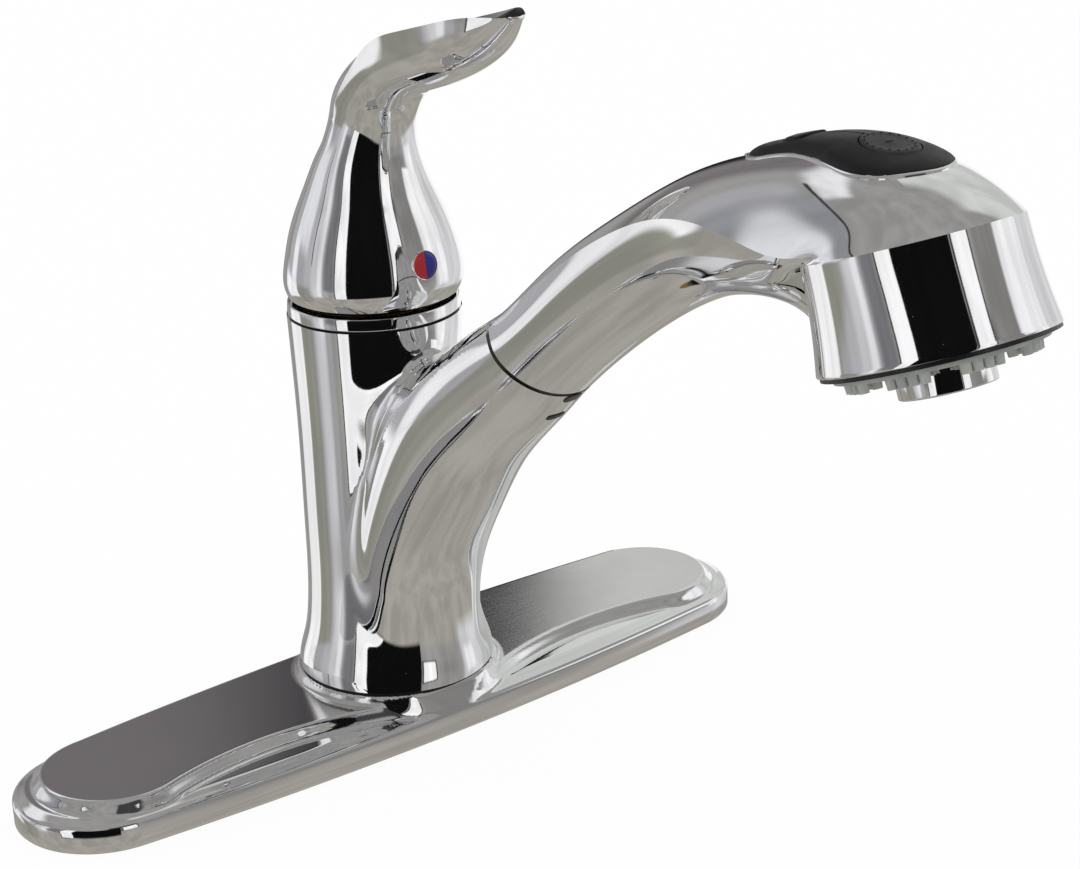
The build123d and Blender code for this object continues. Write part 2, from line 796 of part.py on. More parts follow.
def make_moving_disc():
    """Upper ceramic disc, hollow below."""
    solid = disc(moving_disc_radius, moving_disc_bottom, disc_carrier_bottom)
    return solid - disc(moving_disc_radius * 0.6, moving_disc_bottom - 1, moving_disc_bottom + 1)


def make_disc_carrier():
    """Plastic block that the stem's ball pushes, with the moving disc under it."""
    solid = disc(disc_carrier_radius, disc_carrier_bottom, disc_carrier_top)
    socket = stem_ball_radius + socket_clearance
    return solid - disc(socket, disc_carrier_bottom + socket_floor, disc_carrier_top + 1)


def make_cartridge_housing():
    """Plastic body of the cartridge, with a ledge and a roof that hold the rotor."""
    ledge = rotor_bottom - 0.1
    roof = housing_top - housing_roof
    solid = disc(cartridge_radius, base_disc_top, housing_top)
    solid -= disc(housing_ledge_bore, base_disc_top - 1, ledge)
    solid -= disc(housing_bore, ledge, roof)
    return solid - disc(housing_mouth, roof - 1, housing_top + 1)


def make_cartridge_rotor():
    """Plastic rotor that turns with the handle and carries the stem's pivot."""
    solid = disc(housing_bore - rotor_clearance, rotor_bottom, rotor_top)
    slot = Box(stem_width + 2 * slot_side_clearance, slot_front + slot_back, 60)
    solid -= Pos(0, (slot_back - slot_front) / 2, pivot_height) * slot
    return solid - cross_pin(pivot_pin_radius, pivot_pin_half_length, 0, pivot_height)


def make_stem_pivot_pin():
    """Steel pin that the stem tilts on."""
    return cross_pin(pivot_pin_radius, pivot_pin_half_length, 0, pivot_height)


def make_cartridge_stem():
    """Steel stem: a ball below the pivot and a square bar above it."""
    bar = Pos(0, 0, stem_shoulder) * Box(stem_width, stem_width, stem_top - stem_shoulder,
                                         align=(Align.CENTER, Align.CENTER, Align.MIN))
    ball_z = pivot_height - stem_ball_drop
    ball = Pos(0, 0, ball_z) * Sphere(stem_ball_radius)
    solid = bar + ball + disc(stem_neck_radius, ball_z, stem_shoulder)
    return solid - cross_pin(pivot_pin_radius + running_clearance, 30, 0, pivot_height)


# Bonnet nut and trim
def make_bonnet_nut():
    """Nut that holds the cartridge down and carries the trim ring."""
    return turned((cup_thread_radius + thread_clearance, bonnet_bottom), (bonnet_radius, bonnet_bottom),
                  (bonnet_radius, bonnet_edge), (bonnet_top_radius, bonnet_top), (bonnet_mouth, bonnet_top),
                  (bonnet_mouth, housing_top), (cup_thread_radius + thread_clearance, housing_top))


def make_trim_seal():
    """Black washer under the trim ring."""
    return tube(trim_seal_radius, bonnet_radius + thread_clearance, trim_seal_bottom, trim_bottom)


def make_trim_ring():
    """Chromed ring between the column and the handle."""
    bore = bonnet_radius + thread_clearance
    edge = trim_edge
    return turned((bore, trim_bottom), (trim_bottom_radius - edge, trim_bottom),
                  (trim_bottom_radius, trim_bottom + edge), (trim_top_radius, trim_top - edge),
                  (trim_top_radius - edge, trim_top), (bore, trim_top))


# Handle
def make_handle():
    """Hollow dome with a solid lever and a boss for the stem."""
    rings = [dome_ring(*ring) for ring in dome_rings]
    solid = cast_form(rings + list(lever_sections))
    hollow_rings = []
    for height, radius, centre in dome_rings[:5]:
        wall = handle_rim_wall if height == dome_rings[0][0] else handle_wall
        hollow_rings.append(section_face(dome_ring(min(height, dome_roof), radius - wall, centre)))
    solid -= loft(hollow_rings)
    boss = disc(boss_radius, boss_bottom, dome_rings[4][0] + 1)
    solid += boss
    hole = stem_width + 2 * stem_hole_clearance
    hole_top = stem_top + stem_end_clearance
    solid -= Pos(0, 0, boss_bottom - 1) * Box(hole, hole, hole_top - boss_bottom + 1,
                                              align=(Align.CENTER, Align.CENTER, Align.MIN))
    solid -= forward_pin(screw_radius, 0, boss_radius + 5)
    return solid - forward_pin(index_radius, boss_radius + 5, 40)


def forward_pin(radius, start, end):
    """Cylinder that points forward from the column axis at the set screw's height."""
    pin = Cylinder(radius, end - start, align=(Align.CENTER, Align.CENTER, Align.MIN))
    return Pos(0, -start, screw_height) * Rot(90, 0, 0) * pin


def make_handle_set_screw():
    """Set screw in the boss, tight against the stem."""
    start = stem_width / 2
    solid = forward_pin(screw_radius, start, start + screw_length)
    key = RegularPolygon(screw_key_radius, 6)
    plane = Plane(origin=(0, -start - screw_length, screw_height), x_dir=(1, 0, 0), z_dir=(0, 1, 0))
    return solid - plane * extrude(key, amount=screw_key_depth)


def make_index_half(side):
    """One half of the round hot and cold button in the dome's front."""
    front = dome_rings[2][1] + dome_rings[2][2] + index_proud
    solid = forward_pin(index_radius - index_clearance, front - index_depth, front)
    half = Pos(side * 10, 0, screw_height) * Box(20, 100, 20)
    return solid & half


# Wand
def skirt_solid(inset=0.0):
    """Flared skirt of the head, drawn smaller all round by inset."""
    side = Spline(*[(radius - inset, 0, drop) for radius, drop in skirt_radii])
    frame = Polyline((rim_radius - inset, 0, skirt_length), (0, 0, skirt_length), (0, 0, 0),
                     (shoulder_radius - inset, 0, 0))
    return head_frame * revolve(make_face([side, frame]), Axis.Z)


def wand_solid(forms, inset=0.0):
    """The wand's outer form, from the first section to the rim, drawn smaller all round by inset."""
    return cast_form(forms, inset) + skirt_solid(inset)


def make_wand_shell():
    """Chromed shell of the wand from the seam to the rim of its head."""
    outer = wand_solid(wand_forms) - behind_seam(seam_gap)
    inner = wand_solid(wand_forms, shell_wall)
    inner += seam_prism(casting_wall, -10, spigot_seat + 0.5)
    ears = []
    for side in (-1, 1):
        width = ear_outer - ear_inner
        block = Box(width, 2 * ear_half_length, 20, align=(Align.CENTER, Align.CENTER, Align.MIN))
        ears.append(Pos(side * (ear_inner + width / 2), -rocker_pivot_s, ear_bottom) * block)
    solid = outer - inner
    for ear in ears:
        solid += ear & outer
    solid -= cross_pin(rocker_pin_radius, rocker_pin_half_length, rocker_pivot_s, rocker_pivot_z)
    solid -= head_disc(plate_recess_radius, plate_recess_top, skirt_length + 2)
    solid -= head_disc(button_radius + button_clearance, -40, -button_flange_rise)
    return solid - bar_block(button_clearance)


def behind_seam(offset):
    """Large block that holds everything behind the seam plane moved forward by offset."""
    origin = at(seam.s, seam.z) + direction(seam_tilt) * offset
    plane = Plane(origin=origin, x_dir=(1, 0, 0), z_dir=direction(seam_tilt))
    return plane * Box(400, 400, 400, align=(Align.CENTER, Align.CENTER, Align.MAX))


def pad_prism():
    """Upright prism with the soft pad's plan outline."""
    half = [
        (0.72 * pad_tail_half_width, pad_tail_s + 0.8),
        (pad_tail_half_width - 0.1, pad_tail_s + 5),
        (pad_tail_half_width, pad_waist_s - 8),
        (pad_tail_half_width + 0.2, pad_waist_s),
        (0.7 * pad_half_width, pad_waist_s + 9),
        (0.9 * pad_half_width, pad_widest_s - 7.5),
        (pad_half_width, pad_widest_s),
        (0.9 * pad_half_width, pad_widest_s + 6.8),
        (0.6 * pad_half_width, pad_nose_s - 3),
    ]
    right = [(x, -s) for x, s in half]
    left = [(-x, -s) for x, s in half]
    points = [(0, -pad_tail_s)] + right + [(0, -pad_nose_s)] + left[::-1]
    outline = make_face(Spline(*points, periodic=True))
    return Pos(0, 0, pad_floor) * extrude(outline, amount=40)


def pad_cover(thickness):
    """Solid of the wand's grip and head grown outwards by a thickness."""
    return wand_solid(wand_forms[3:], -thickness)


def make_soft_pad():
    """Soft black thumb pad on the back of the head."""
    solid = pad_cover(pad_thickness) & pad_prism()
    solid -= wand_solid(wand_forms)
    solid -= head_disc(button_radius + button_clearance, -40, 0)
    return solid - bar_block(button_clearance)


def bar_block(grow):
    """Tall upright bar with the rear button's rounded outline."""
    outline = RectangleRounded(bar_width + 2 * grow, bar_length + 2 * grow, bar_corner)
    return Pos(0, -bar_s, bar_flange_top) * extrude(outline, amount=40)


def make_stream_button():
    """Rear button: a raised bar in the pad, with a flange under the shell and a stem to the rocker."""
    bar = bar_block(0) & pad_cover(pad_thickness + bar_proud)
    outline = RectangleRounded(bar_width + 2 * bar_flange, bar_length + 2 * bar_flange, bar_corner)
    flange = Pos(0, -bar_s, bar_flange_top) * extrude(outline, amount=-bar_flange_height)
    stem = disc(bar_stem_radius, rocker_top + rocker_gap, bar_flange_top, 0, -bar_s)
    return bar + flange + stem


def make_spray_button():
    """Front button: a round cap in the pad, with a flange under the shell."""
    cap = head_disc(button_radius, -40, -button_flange_rise) & pad_cover(pad_thickness + button_proud)
    flange_top = button_flange_rise + button_flange_height
    return cap + head_disc(button_flange_radius, -flange_top, -button_flange_rise)


def make_diverter_spool():
    """Spool below the front button, with a collar and the cross pin that the rocker lifts."""
    spool = head_disc(spool_radius, -button_flange_rise, spool_bottom)
    groove = 2 * spool_seal_cord
    groove_ring = tube(spool_radius + 1, spool_radius - groove, spool_seal_rise - groove / 2,
                       spool_seal_rise + groove / 2)
    spool -= head_rise * groove_ring
    collar = head_disc(spool_collar_radius, -spool_collar_rise - spool_collar_height, -spool_collar_rise)
    pin_height = rocker_top + rocker_gap + spool_pin_radius
    pin_rise = (pin_height - shoulder_z) / cos(radians(head_tilt))
    pin_s = shoulder_s - pin_rise * sin(radians(head_tilt))
    return spool + collar + cross_pin(spool_pin_radius, spool_pin_half_length, pin_s, pin_height)


def make_diverter_body():
    """Fixed body that the spool slides in, with a chamber over the spray plate."""
    solid = head_disc(diverter_radius, -diverter_rise, plate_recess_top)
    solid -= head_disc(spool_radius + spool_clearance, -diverter_rise - 1, diverter_bore_end + 1)
    solid -= head_disc(diverter_chamber, diverter_bore_end, plate_recess_top + 1)
    return solid - waterway_run(waterway_bore)


def make_toggle_rocker():
    """Rocker that joins the two buttons, so that one rises as the other is pressed."""
    length = rocker_fork_root - rocker_back
    low = rocker_top - rocker_thickness
    grounded = (Align.CENTER, Align.MAX, Align.MIN)
    solid = Pos(0, -rocker_back, low) * Box(rocker_width, length, rocker_thickness, align=grounded)
    crossbar = Box(rocker_fork_width, rocker_crossbar, rocker_thickness, align=grounded)
    solid += Pos(0, rocker_crossbar - rocker_fork_root, low) * crossbar
    prong = (rocker_fork_width - rocker_fork_gap) / 2
    reach = rocker_front - rocker_fork_root
    for side in (-1, 1):
        x = side * (rocker_fork_gap + prong) / 2
        solid += Pos(x, -rocker_fork_root, low) * Box(prong, reach, rocker_thickness, align=grounded)
    solid += cross_pin(rocker_hub_radius, rocker_width / 2, rocker_pivot_s, rocker_pivot_z)
    return solid - cross_pin(rocker_pin_radius + running_clearance, 30, rocker_pivot_s, rocker_pivot_z)


def make_rocker_pin():
    """Steel pin of the rocker, held by the shell's two ears."""
    return cross_pin(rocker_pin_radius, rocker_pin_half_length, rocker_pivot_s, rocker_pivot_z)


def seam_middle():
    """Centre of the seam's section, where the hose runs through."""
    upward = Vector(0, sin(radians(dock_tilt)), cos(radians(dock_tilt)))
    return at(seam.s, seam.z) + upward * (seam.height / 2)


def waterway_points():
    """Bends of the inner water tube: nipple, grip, neck, crest and diverter."""
    start = seam_middle() + direction(dock_tilt) * (spigot_seat + nipple_nose)
    ahead = start + direction(dock_tilt) * waterway_straight
    end = at(shoulder_s - 1, shoulder_z - waterway_end_drop)
    return [start, ahead, at(waterway_neck_s, waterway_neck_z), at(waterway_crest_s, waterway_crest_z), end]


def waterway_run(radius):
    """Solid bar along the water tube's route."""
    path = FilletPolyline(*waterway_points(), radius=waterway_bend)
    start = path @ 0
    return sweep(Plane(origin=start, z_dir=path % 0) * Circle(radius), path=path)


def make_waterway():
    """Bent plastic tube from the hose nipple to the diverter."""
    solid = waterway_run(waterway_radius) - waterway_run(waterway_bore)
    return solid - head_disc(diverter_radius, -diverter_rise - 10, plate_recess_top)


def dock_frame():
    """Plane on the middle of the seam, square to the docking direction."""
    return Plane(origin=seam_middle(), x_dir=(1, 0, 0), z_dir=direction(dock_tilt))


def make_wand_spigot():
    """Black plastic spigot that guides the wand into the collar and holds the hose nipple."""
    slide_inset = casting_wall + collar_wall + spigot_clearance
    guide = seam_prism(slide_inset, -spigot_reach, spigot_seat)
    seat = seam_prism(casting_wall + collar_clearance, -8, spigot_seat) & ahead_of_seam(seam_gap + 0.6)
    solid = guide + seat
    hollow = seam_prism(slide_inset + spigot_wall, -spigot_reach - 1, spigot_seat - web_thickness)
    solid -= hollow
    return solid - dock_frame() * disc(nipple_thread_radius, -20, 30)


def make_hose_nipple():
    """Brass nipple in the spigot's web, where the hose screws on."""
    web = spigot_seat - web_thickness
    head = extrude(RegularPolygon(nipple_head_radius, 6), amount=nipple_head_length)
    solid = Pos(0, 0, web - nipple_head_length) * head
    solid += disc(nipple_thread_radius, web, spigot_seat + nipple_nose)
    solid -= disc(hose_bore, web - nipple_head_length - 1, spigot_seat + nipple_nose + 1)
    return dock_frame() * solid


def make_check_valve():
    """Small non-return valve inside the nipple."""
    end = spigot_seat + nipple_nose - 1
    solid = disc(hose_bore, end - check_valve_length, end)
    for turn in range(3):
        x = check_hole_circle * cos(radians(120 * turn))
        y = check_hole_circle * sin(radians(120 * turn))
        solid -= disc(check_hole_radius, end - check_valve_length - 1, end + 1, x, y)
    return dock_frame() * solid


# Spray face and aerator
def make_spray_plate():
    """Black plate in the head, with a flange that shows below the rim."""
    bottom = skirt_length + 0.05 + spray_flange_height
    solid = head_disc(spray_plate_radius, plate_recess_top, bottom)
    solid += head_disc(spray_flange_radius, skirt_length + 0.05, bottom)
    solid -= head_disc(aerator_thread_radius + thread_clearance, plate_recess_top - 1, bottom + 1)
    groove = (plate_recess_top + skirt_length) / 2
    cord = head_seal_cord + 0.05
    solid -= head_tube(spray_plate_radius + 1, head_seal_radius - cord, groove - cord, groove + cord)
    return solid


def make_head_seal():
    """Rubber ring round the spray plate."""
    groove = (plate_recess_top + skirt_length) / 2
    return head_frame * Pos(0, 0, groove) * Torus(head_seal_radius, head_seal_cord)


def make_nozzle_mat():
    """Grey-green rubber face with its clusters of spray nozzles."""
    top = skirt_length + 0.05 + spray_flange_height
    bottom = top + nozzle_mat_height
    solid = tube(nozzle_mat_radius, aerator_radius + 0.2, top, bottom)
    standing = (Align.CENTER, Align.CENTER, Align.MIN)
    nozzle = Cone(nozzle_radius, nozzle_tip_radius, nozzle_length, align=standing)
    for ring, groups, count, step in nozzle_rings:
        for group in range(groups):
            for index in range(count):
                angle = 360 / groups * (group + 0.5) + (index - (count - 1) / 2) * step
                solid += Rot(0, 0, angle) * Pos(ring, 0, bottom) * nozzle
    return head_frame * solid


def make_aerator_housing():
    """Chromed ring round the middle jet, stepped in where it passes the nozzle mat."""
    shoulder_drop = skirt_length + 0.05 + spray_flange_height
    step_drop = shoulder_drop + nozzle_mat_height + aerator_step_clearance
    end = skirt_length + aerator_drop
    solid = disc(aerator_radius, step_drop, end)
    solid = fillet(solid.faces().sort_by(Axis.Z)[-1].edges(), aerator_edge)
    solid += disc(aerator_radius - aerator_step, shoulder_drop + 0.05, step_drop)
    solid += disc(aerator_thread_radius, shoulder_drop - aerator_thread_length, shoulder_drop + 0.1)
    solid -= disc(aerator_bore, shoulder_drop - aerator_thread_length - 1, end - aerator_lip)
    return head_frame * (solid - disc(aerator_bore - aerator_lip, end - 5, end + 1))


def make_aerator_insert():
    """Plastic insert with its honeycomb of small openings."""
    bottom = skirt_length + aerator_drop - insert_recess
    top = skirt_length + spray_flange_height - aerator_thread_length + washer_height
    solid = disc(aerator_bore - insert_clearance, top, bottom)
    for row in range(-3, 4):
        for column in range(-4, 4):
            x = (column + 1 - (row % 2) / 2) * insert_hole_pitch
            y = row * insert_hole_pitch * sin(radians(60))
            if sqrt(x**2 + y**2) < aerator_bore - 1.6:
                solid -= disc(insert_hole_radius, top - 1, bottom + 1, x, y)
    return head_frame * solid


def make_aerator_washer():
    """Rubber washer above the aerator insert."""
    top = skirt_length + spray_flange_height - aerator_thread_length
    return head_tube(aerator_bore - insert_clearance, washer_bore, top, top + washer_height)


def make_spool_seal():
    """Rubber ring in the spool's groove, which seals it and keeps it where it is pressed."""
    radius = spool_radius + spool_clearance - spool_seal_gap - spool_seal_cord
    return head_rise * Pos(0, 0, spool_seal_rise) * Torus(radius, spool_seal_cord)


parts["deck_plate"] = make_deck_plate()
parts["plate_carrier"] = make_plate_carrier()
parts["deck_gasket"] = make_deck_gasket()
parts["plate_studs"] = make_plate_studs()
parts["stud_nuts"] = make_stud_nuts()
parts["mounting_shank"] = make_mounting_shank()
parts["rubber_washer"] = clamp_ring(rubber_washer_radius, -worktop_gap, rubber_washer_height)
parts["steel_washer"] = clamp_ring(steel_washer_radius, steel_washer_top, steel_washer_height)
parts["mounting_nut"] = make_mounting_nut()
parts["nut_screws"] = make_nut_screws()
parts["valve_post"] = make_valve_post()
parts["inlet_nipples"] = make_inlet_nipples()
parts["base_seal_ring"] = make_base_seal_ring()
parts["lower_glide_ring"] = make_lower_glide_ring()
parts["upper_glide_ring"] = make_upper_glide_ring()
parts["spout_body"] = make_spout_body()
parts["docking_collar"] = make_docking_collar()
parts["port_seals"] = make_port_seals()
parts["cartridge_base"] = make_cartridge_base()
parts["fixed_disc"] = make_fixed_disc()
parts["moving_disc"] = make_moving_disc()
parts["disc_carrier"] = make_disc_carrier()
parts["cartridge_housing"] = make_cartridge_housing()
parts["cartridge_rotor"] = make_cartridge_rotor()
parts["stem_pivot_pin"] = make_stem_pivot_pin()
parts["cartridge_stem"] = make_cartridge_stem()
parts["bonnet_nut"] = make_bonnet_nut()
parts["trim_seal"] = make_trim_seal()
parts["trim_ring"] = make_trim_ring()
parts["handle"] = make_handle()
parts["handle_set_screw"] = make_handle_set_screw()
parts["index_red"] = make_index_half(-1)
parts["index_blue"] = make_index_half(1)
parts["wand_shell"] = make_wand_shell()
parts["wand_spigot"] = make_wand_spigot()
parts["hose_nipple"] = make_hose_nipple()
parts["check_valve"] = make_check_valve()
parts["waterway"] = make_waterway()
parts["diverter_body"] = make_diverter_body()
parts["diverter_spool"] = make_diverter_spool()
parts["spool_seal"] = make_spool_seal()
parts["soft_pad"] = make_soft_pad()
parts["spray_button"] = make_spray_button()
parts["stream_button"] = make_stream_button()
parts["toggle_rocker"] = make_toggle_rocker()
parts["rocker_pin"] = make_rocker_pin()
parts["spray_plate"] = make_spray_plate()
parts["head_seal"] = make_head_seal()
parts["nozzle_mat"] = make_nozzle_mat()
parts["aerator_housing"] = make_aerator_housing()
parts["aerator_insert"] = make_aerator_insert()
parts["aerator_washer"] = make_aerator_washer()

os.makedirs("parts", exist_ok=True)
for name, shape in parts.items():
    solids = shape if isinstance(shape, list) else [shape]
    pieces = [solid for piece in solids for solid in piece.solids()]
    export_step(Compound(children=pieces), f"parts/{name}.step")
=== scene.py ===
"""Kitchen faucet with a pull-out spray wand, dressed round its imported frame.

Places are written in millimetres in the object's own frame: X runs along the deck plate, the spout
points towards -Y and Z is up. A side-view place is (s, z), where s is the distance forward of the
column axis. Meshes are turned into metres as they are made.
"""
import json
import logging
import math
from dataclasses import dataclass, field, replace
from enum import Enum
from typing import Callable, Sequence

import bmesh
import bpy
import numpy as np
from mathutils import Matrix, Vector
from mathutils.bvhtree import BVHTree


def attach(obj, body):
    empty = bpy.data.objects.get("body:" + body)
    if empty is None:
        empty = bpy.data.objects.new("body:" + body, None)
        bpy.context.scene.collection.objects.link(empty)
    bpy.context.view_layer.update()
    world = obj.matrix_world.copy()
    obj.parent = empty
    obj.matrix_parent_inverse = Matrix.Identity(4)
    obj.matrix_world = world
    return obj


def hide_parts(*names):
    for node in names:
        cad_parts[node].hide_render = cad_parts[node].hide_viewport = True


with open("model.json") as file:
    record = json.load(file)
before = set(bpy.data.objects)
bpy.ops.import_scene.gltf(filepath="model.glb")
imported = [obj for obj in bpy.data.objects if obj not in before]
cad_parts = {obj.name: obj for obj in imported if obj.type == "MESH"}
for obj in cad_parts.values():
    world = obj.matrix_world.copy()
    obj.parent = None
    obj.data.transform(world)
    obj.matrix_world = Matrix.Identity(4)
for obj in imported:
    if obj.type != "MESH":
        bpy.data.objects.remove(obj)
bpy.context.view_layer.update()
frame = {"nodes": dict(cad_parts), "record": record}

LOG = logging.getLogger("faucet")
MM = 0.001
WELD = 2e-6
SLIVER = 1e-7
RIGHT = np.array([1.0, 0, 0])
Array = np.ndarray
Pair = tuple[float, float]
Triple = tuple[float, float, float]
Colour = tuple[float, float, float, float]


class Body(Enum):
    """Moving bodies that the pieces ride on."""

    BASE = "base"
    SPOUT = "spout"
    LEVER = "lever"
    WAND = "wand"
    STREAM_KEY = "stream_key"
    SPRAY_KEY = "spray_key"


# Curves and section forms


class Curve:
    """Natural cubic spline through rows of values."""

    def __init__(self, knots: Array, values: Array) -> None:
        """Solve the spline.

        Args:
            knots: Rising parameter of each row.
            values: One row of numbers for each knot.
        """
        self.knots = np.asarray(knots, float)
        self.values = np.asarray(values, float).reshape(len(self.knots), -1)
        steps = np.diff(self.knots)
        count = len(self.knots)
        matrix = np.eye(count)
        right = np.zeros_like(self.values)
        slopes = np.diff(self.values, axis=0) / steps[:, None]
        for i in range(1, count - 1):
            matrix[i, i - 1:i + 2] = steps[i - 1], 2 * (steps[i - 1] + steps[i]), steps[i]
            right[i] = 6 * (slopes[i] - slopes[i - 1])
        self.bends = np.linalg.solve(matrix, right)

    def __call__(self, places: Array) -> Array:
        """Rows at some places of the parameter.

        Args:
            places: Parameter values.

        Returns:
            One row for each place.
        """
        places = np.atleast_1d(np.asarray(places, float))
        i = np.clip(np.searchsorted(self.knots, places) - 1, 0, len(self.knots) - 2)
        step = (self.knots[i + 1] - self.knots[i])[:, None]
        b = (places - self.knots[i])[:, None] / step
        a = 1 - b
        curved = ((a**3 - a) * self.bends[i] + (b**3 - b) * self.bends[i + 1]) * step**2 / 6
        return a * self.values[i] + b * self.values[i + 1] + curved


def centripetal(corners: Array) -> Array:
    """Knots for a curve through some corners, by the square roots of its chords."""
    chords = np.sqrt(np.linalg.norm(np.diff(corners, axis=0), axis=1))
    return np.concatenate([[0.0], np.cumsum(chords)])


def through(points: Sequence[Pair], count: int) -> Array:
    """Points along a smooth open curve, closer together near its two ends.

    Args:
        points: Places that the curve goes through.
        count: How many points to return.

    Returns:
        An array of (x, y) rows.
    """
    corners = np.asarray(points, float)
    knots = centripetal(corners)
    return Curve(knots, corners)(knots[-1] * eased(count))


def eased(count: int) -> Array:
    """Numbers from 0 to 1 that lie closer together at both ends."""
    even = np.linspace(0, 1, count)
    return 0.35 * even + 0.65 * (0.5 - 0.5 * np.cos(np.pi * even))


def smooth(value: Array, low: float, high: float) -> Array:
    """Smooth step from 0 at low to 1 at high."""
    share = np.clip((value - low) / (high - low), 0, 1)
    return share * share * (3 - 2 * share)


@dataclass(frozen=True)
class Section:
    """One cross-section of a cast form, in a leaning plane that holds the X axis.

    The lowest or foremost point is at (s, z). The other places are (x, u) pairs, where u is the
    distance up the plane. A round section has a radius, and its places are worked out from it.
    """

    s: float
    z: float
    tilt: float
    height: float
    top: Pair = (0, 0)
    edge: Pair = (0, 0)
    side: Pair = (0, 0)
    low: Pair = (0, 0)
    round_share: float = 0.0

    def row(self) -> list[float]:
        """All the numbers that are blended between sections."""
        return [self.s, self.z, self.tilt, self.height, *self.top, *self.edge, *self.side,
                *self.low, self.round_share]


S, Z, TILT, HEIGHT = range(4)


def ring(s: float, z: float, tilt: float, radius: float, edge_angle: float) -> Section:
    """Round section.

    Args:
        s: Forward place of its foremost point.
        z: Height of its foremost point.
        tilt: Lean of its plane, in degrees.
        radius: Its radius.
        edge_angle: Angle from the foremost point to the edge line, in degrees.

    Returns:
        The section, with its places on the circle.
    """
    angles = ((edge_angle + 180) / 2, edge_angle, edge_angle * 2 / 3, edge_angle / 3)
    pairs = [(radius * math.sin(math.radians(a)), radius - radius * math.cos(math.radians(a)))
             for a in angles]
    return Section(s, z, tilt, 2 * radius, *pairs, round_share=1.0)


def placed(points: Array, row: Array) -> Array:
    """Move places in a section's plane into the object's frame.

    Args:
        points: (x, u) rows.
        row: The section's numbers.

    Returns:
        (x, y, z) rows.
    """
    lean = math.radians(row[TILT])
    return np.stack([points[:, 0], -row[S] + points[:, 1] * math.sin(lean),
                     row[Z] + points[:, 1] * math.cos(lean)], axis=1)


@dataclass(frozen=True)
class CastForm:
    """Smooth form through a row of sections."""

    sections: tuple[Section, ...]
    edge_angle: float = 90.0
    across: int = 49
    along: int = 420
    around_low: int = 97

    def outline(self, row: Array, inset: float) -> Array:
        """Outline of one section in its own plane.

        Args:
            row: The section's numbers.
            inset: How much smaller it is drawn all round.

        Returns:
            (x, u) rows, from one edge over the top to the other and back under.
        """
        height, share = row[HEIGHT], float(smooth(row[-1], 0.0, 1.0))
        top, edge, side, low = row[HEIGHT + 1:-1].reshape(4, 2)
        mirror = np.array([-1, 1])
        upper = through([edge * mirror, top * mirror, (0, height), top, edge], self.across)
        lower = through([edge, side, low, (0, 0), low * mirror, side * mirror, edge * mirror],
                        self.around_low)
        points = np.vstack([upper[:-1], lower[:-1]])
        if share > 0:
            radius, turn = height / 2, math.radians(self.edge_angle)
            over = -turn + (2 * turn - 2 * math.pi) * eased(self.across)[:-1]
            under = turn - 2 * turn * eased(self.around_low)[:-1]
            angles = np.concatenate([over, under])
            round_points = np.stack([radius * np.sin(angles), radius - radius * np.cos(angles)], axis=1)
            points = (1 - share) * points + share * round_points
        widest = max(abs(points[:, 0]).max(), 1e-6)
        points[:, 0] *= 1 - inset / widest
        points[:, 1] = inset + points[:, 1] * (height - 2 * inset) / height
        return points

    def rows(self, places: Array) -> Array:
        """Blended section numbers at some places along the form."""
        table = np.array([section.row() for section in self.sections])
        return Curve(np.arange(len(table)), table)(places)

    def grid(self, start: float, end: float, inset: float = 0.0, count: int = 0) -> Array:
        """Dense grid of points on the form.

        Args:
            start: First place along the form, counted in sections.
            end: Last place.
            inset: How much smaller the form is drawn.
            count: Number of rings, or 0 for the form's own number.

        Returns:
            An array of rings of (x, y, z) points.
        """
        rows = self.rows(np.linspace(start, end, count or self.along))
        return np.array([placed(self.outline(row, inset), row) for row in rows])


def ahead(tilt: float) -> Array:
    """Unit vector that climbs forward at an angle above the level."""
    return np.array([0, -math.cos(math.radians(tilt)), math.sin(math.radians(tilt))])


def from_plane(grid: Array, origin: Array, normal: Array, spacing: Array) -> Array:
    """Cut a grid of rings by a plane, and share out new rings from the cut to its end.

    Args:
        grid: Rings of points.
        origin: Point on the plane.
        normal: Direction that the kept side lies in.
        spacing: Share of each new ring between the cut and the end.

    Returns:
        The new rings, the first of them on the plane.
    """
    side = (grid - origin) @ normal
    last = len(grid) - 1
    behind = side < 0
    i = np.clip(last - np.argmax(behind[::-1], axis=0), 0, last - 1)
    k = np.arange(grid.shape[1])
    start = i + side[i, k] / (side[i, k] - side[i + 1, k])
    places = start[None] + (last - start)[None] * spacing[:, None]
    low = np.clip(places.astype(int), 0, last - 1)
    share = (places - low)[..., None]
    return grid[low, k] * (1 - share) + grid[low + 1, k] * share


# Meshes


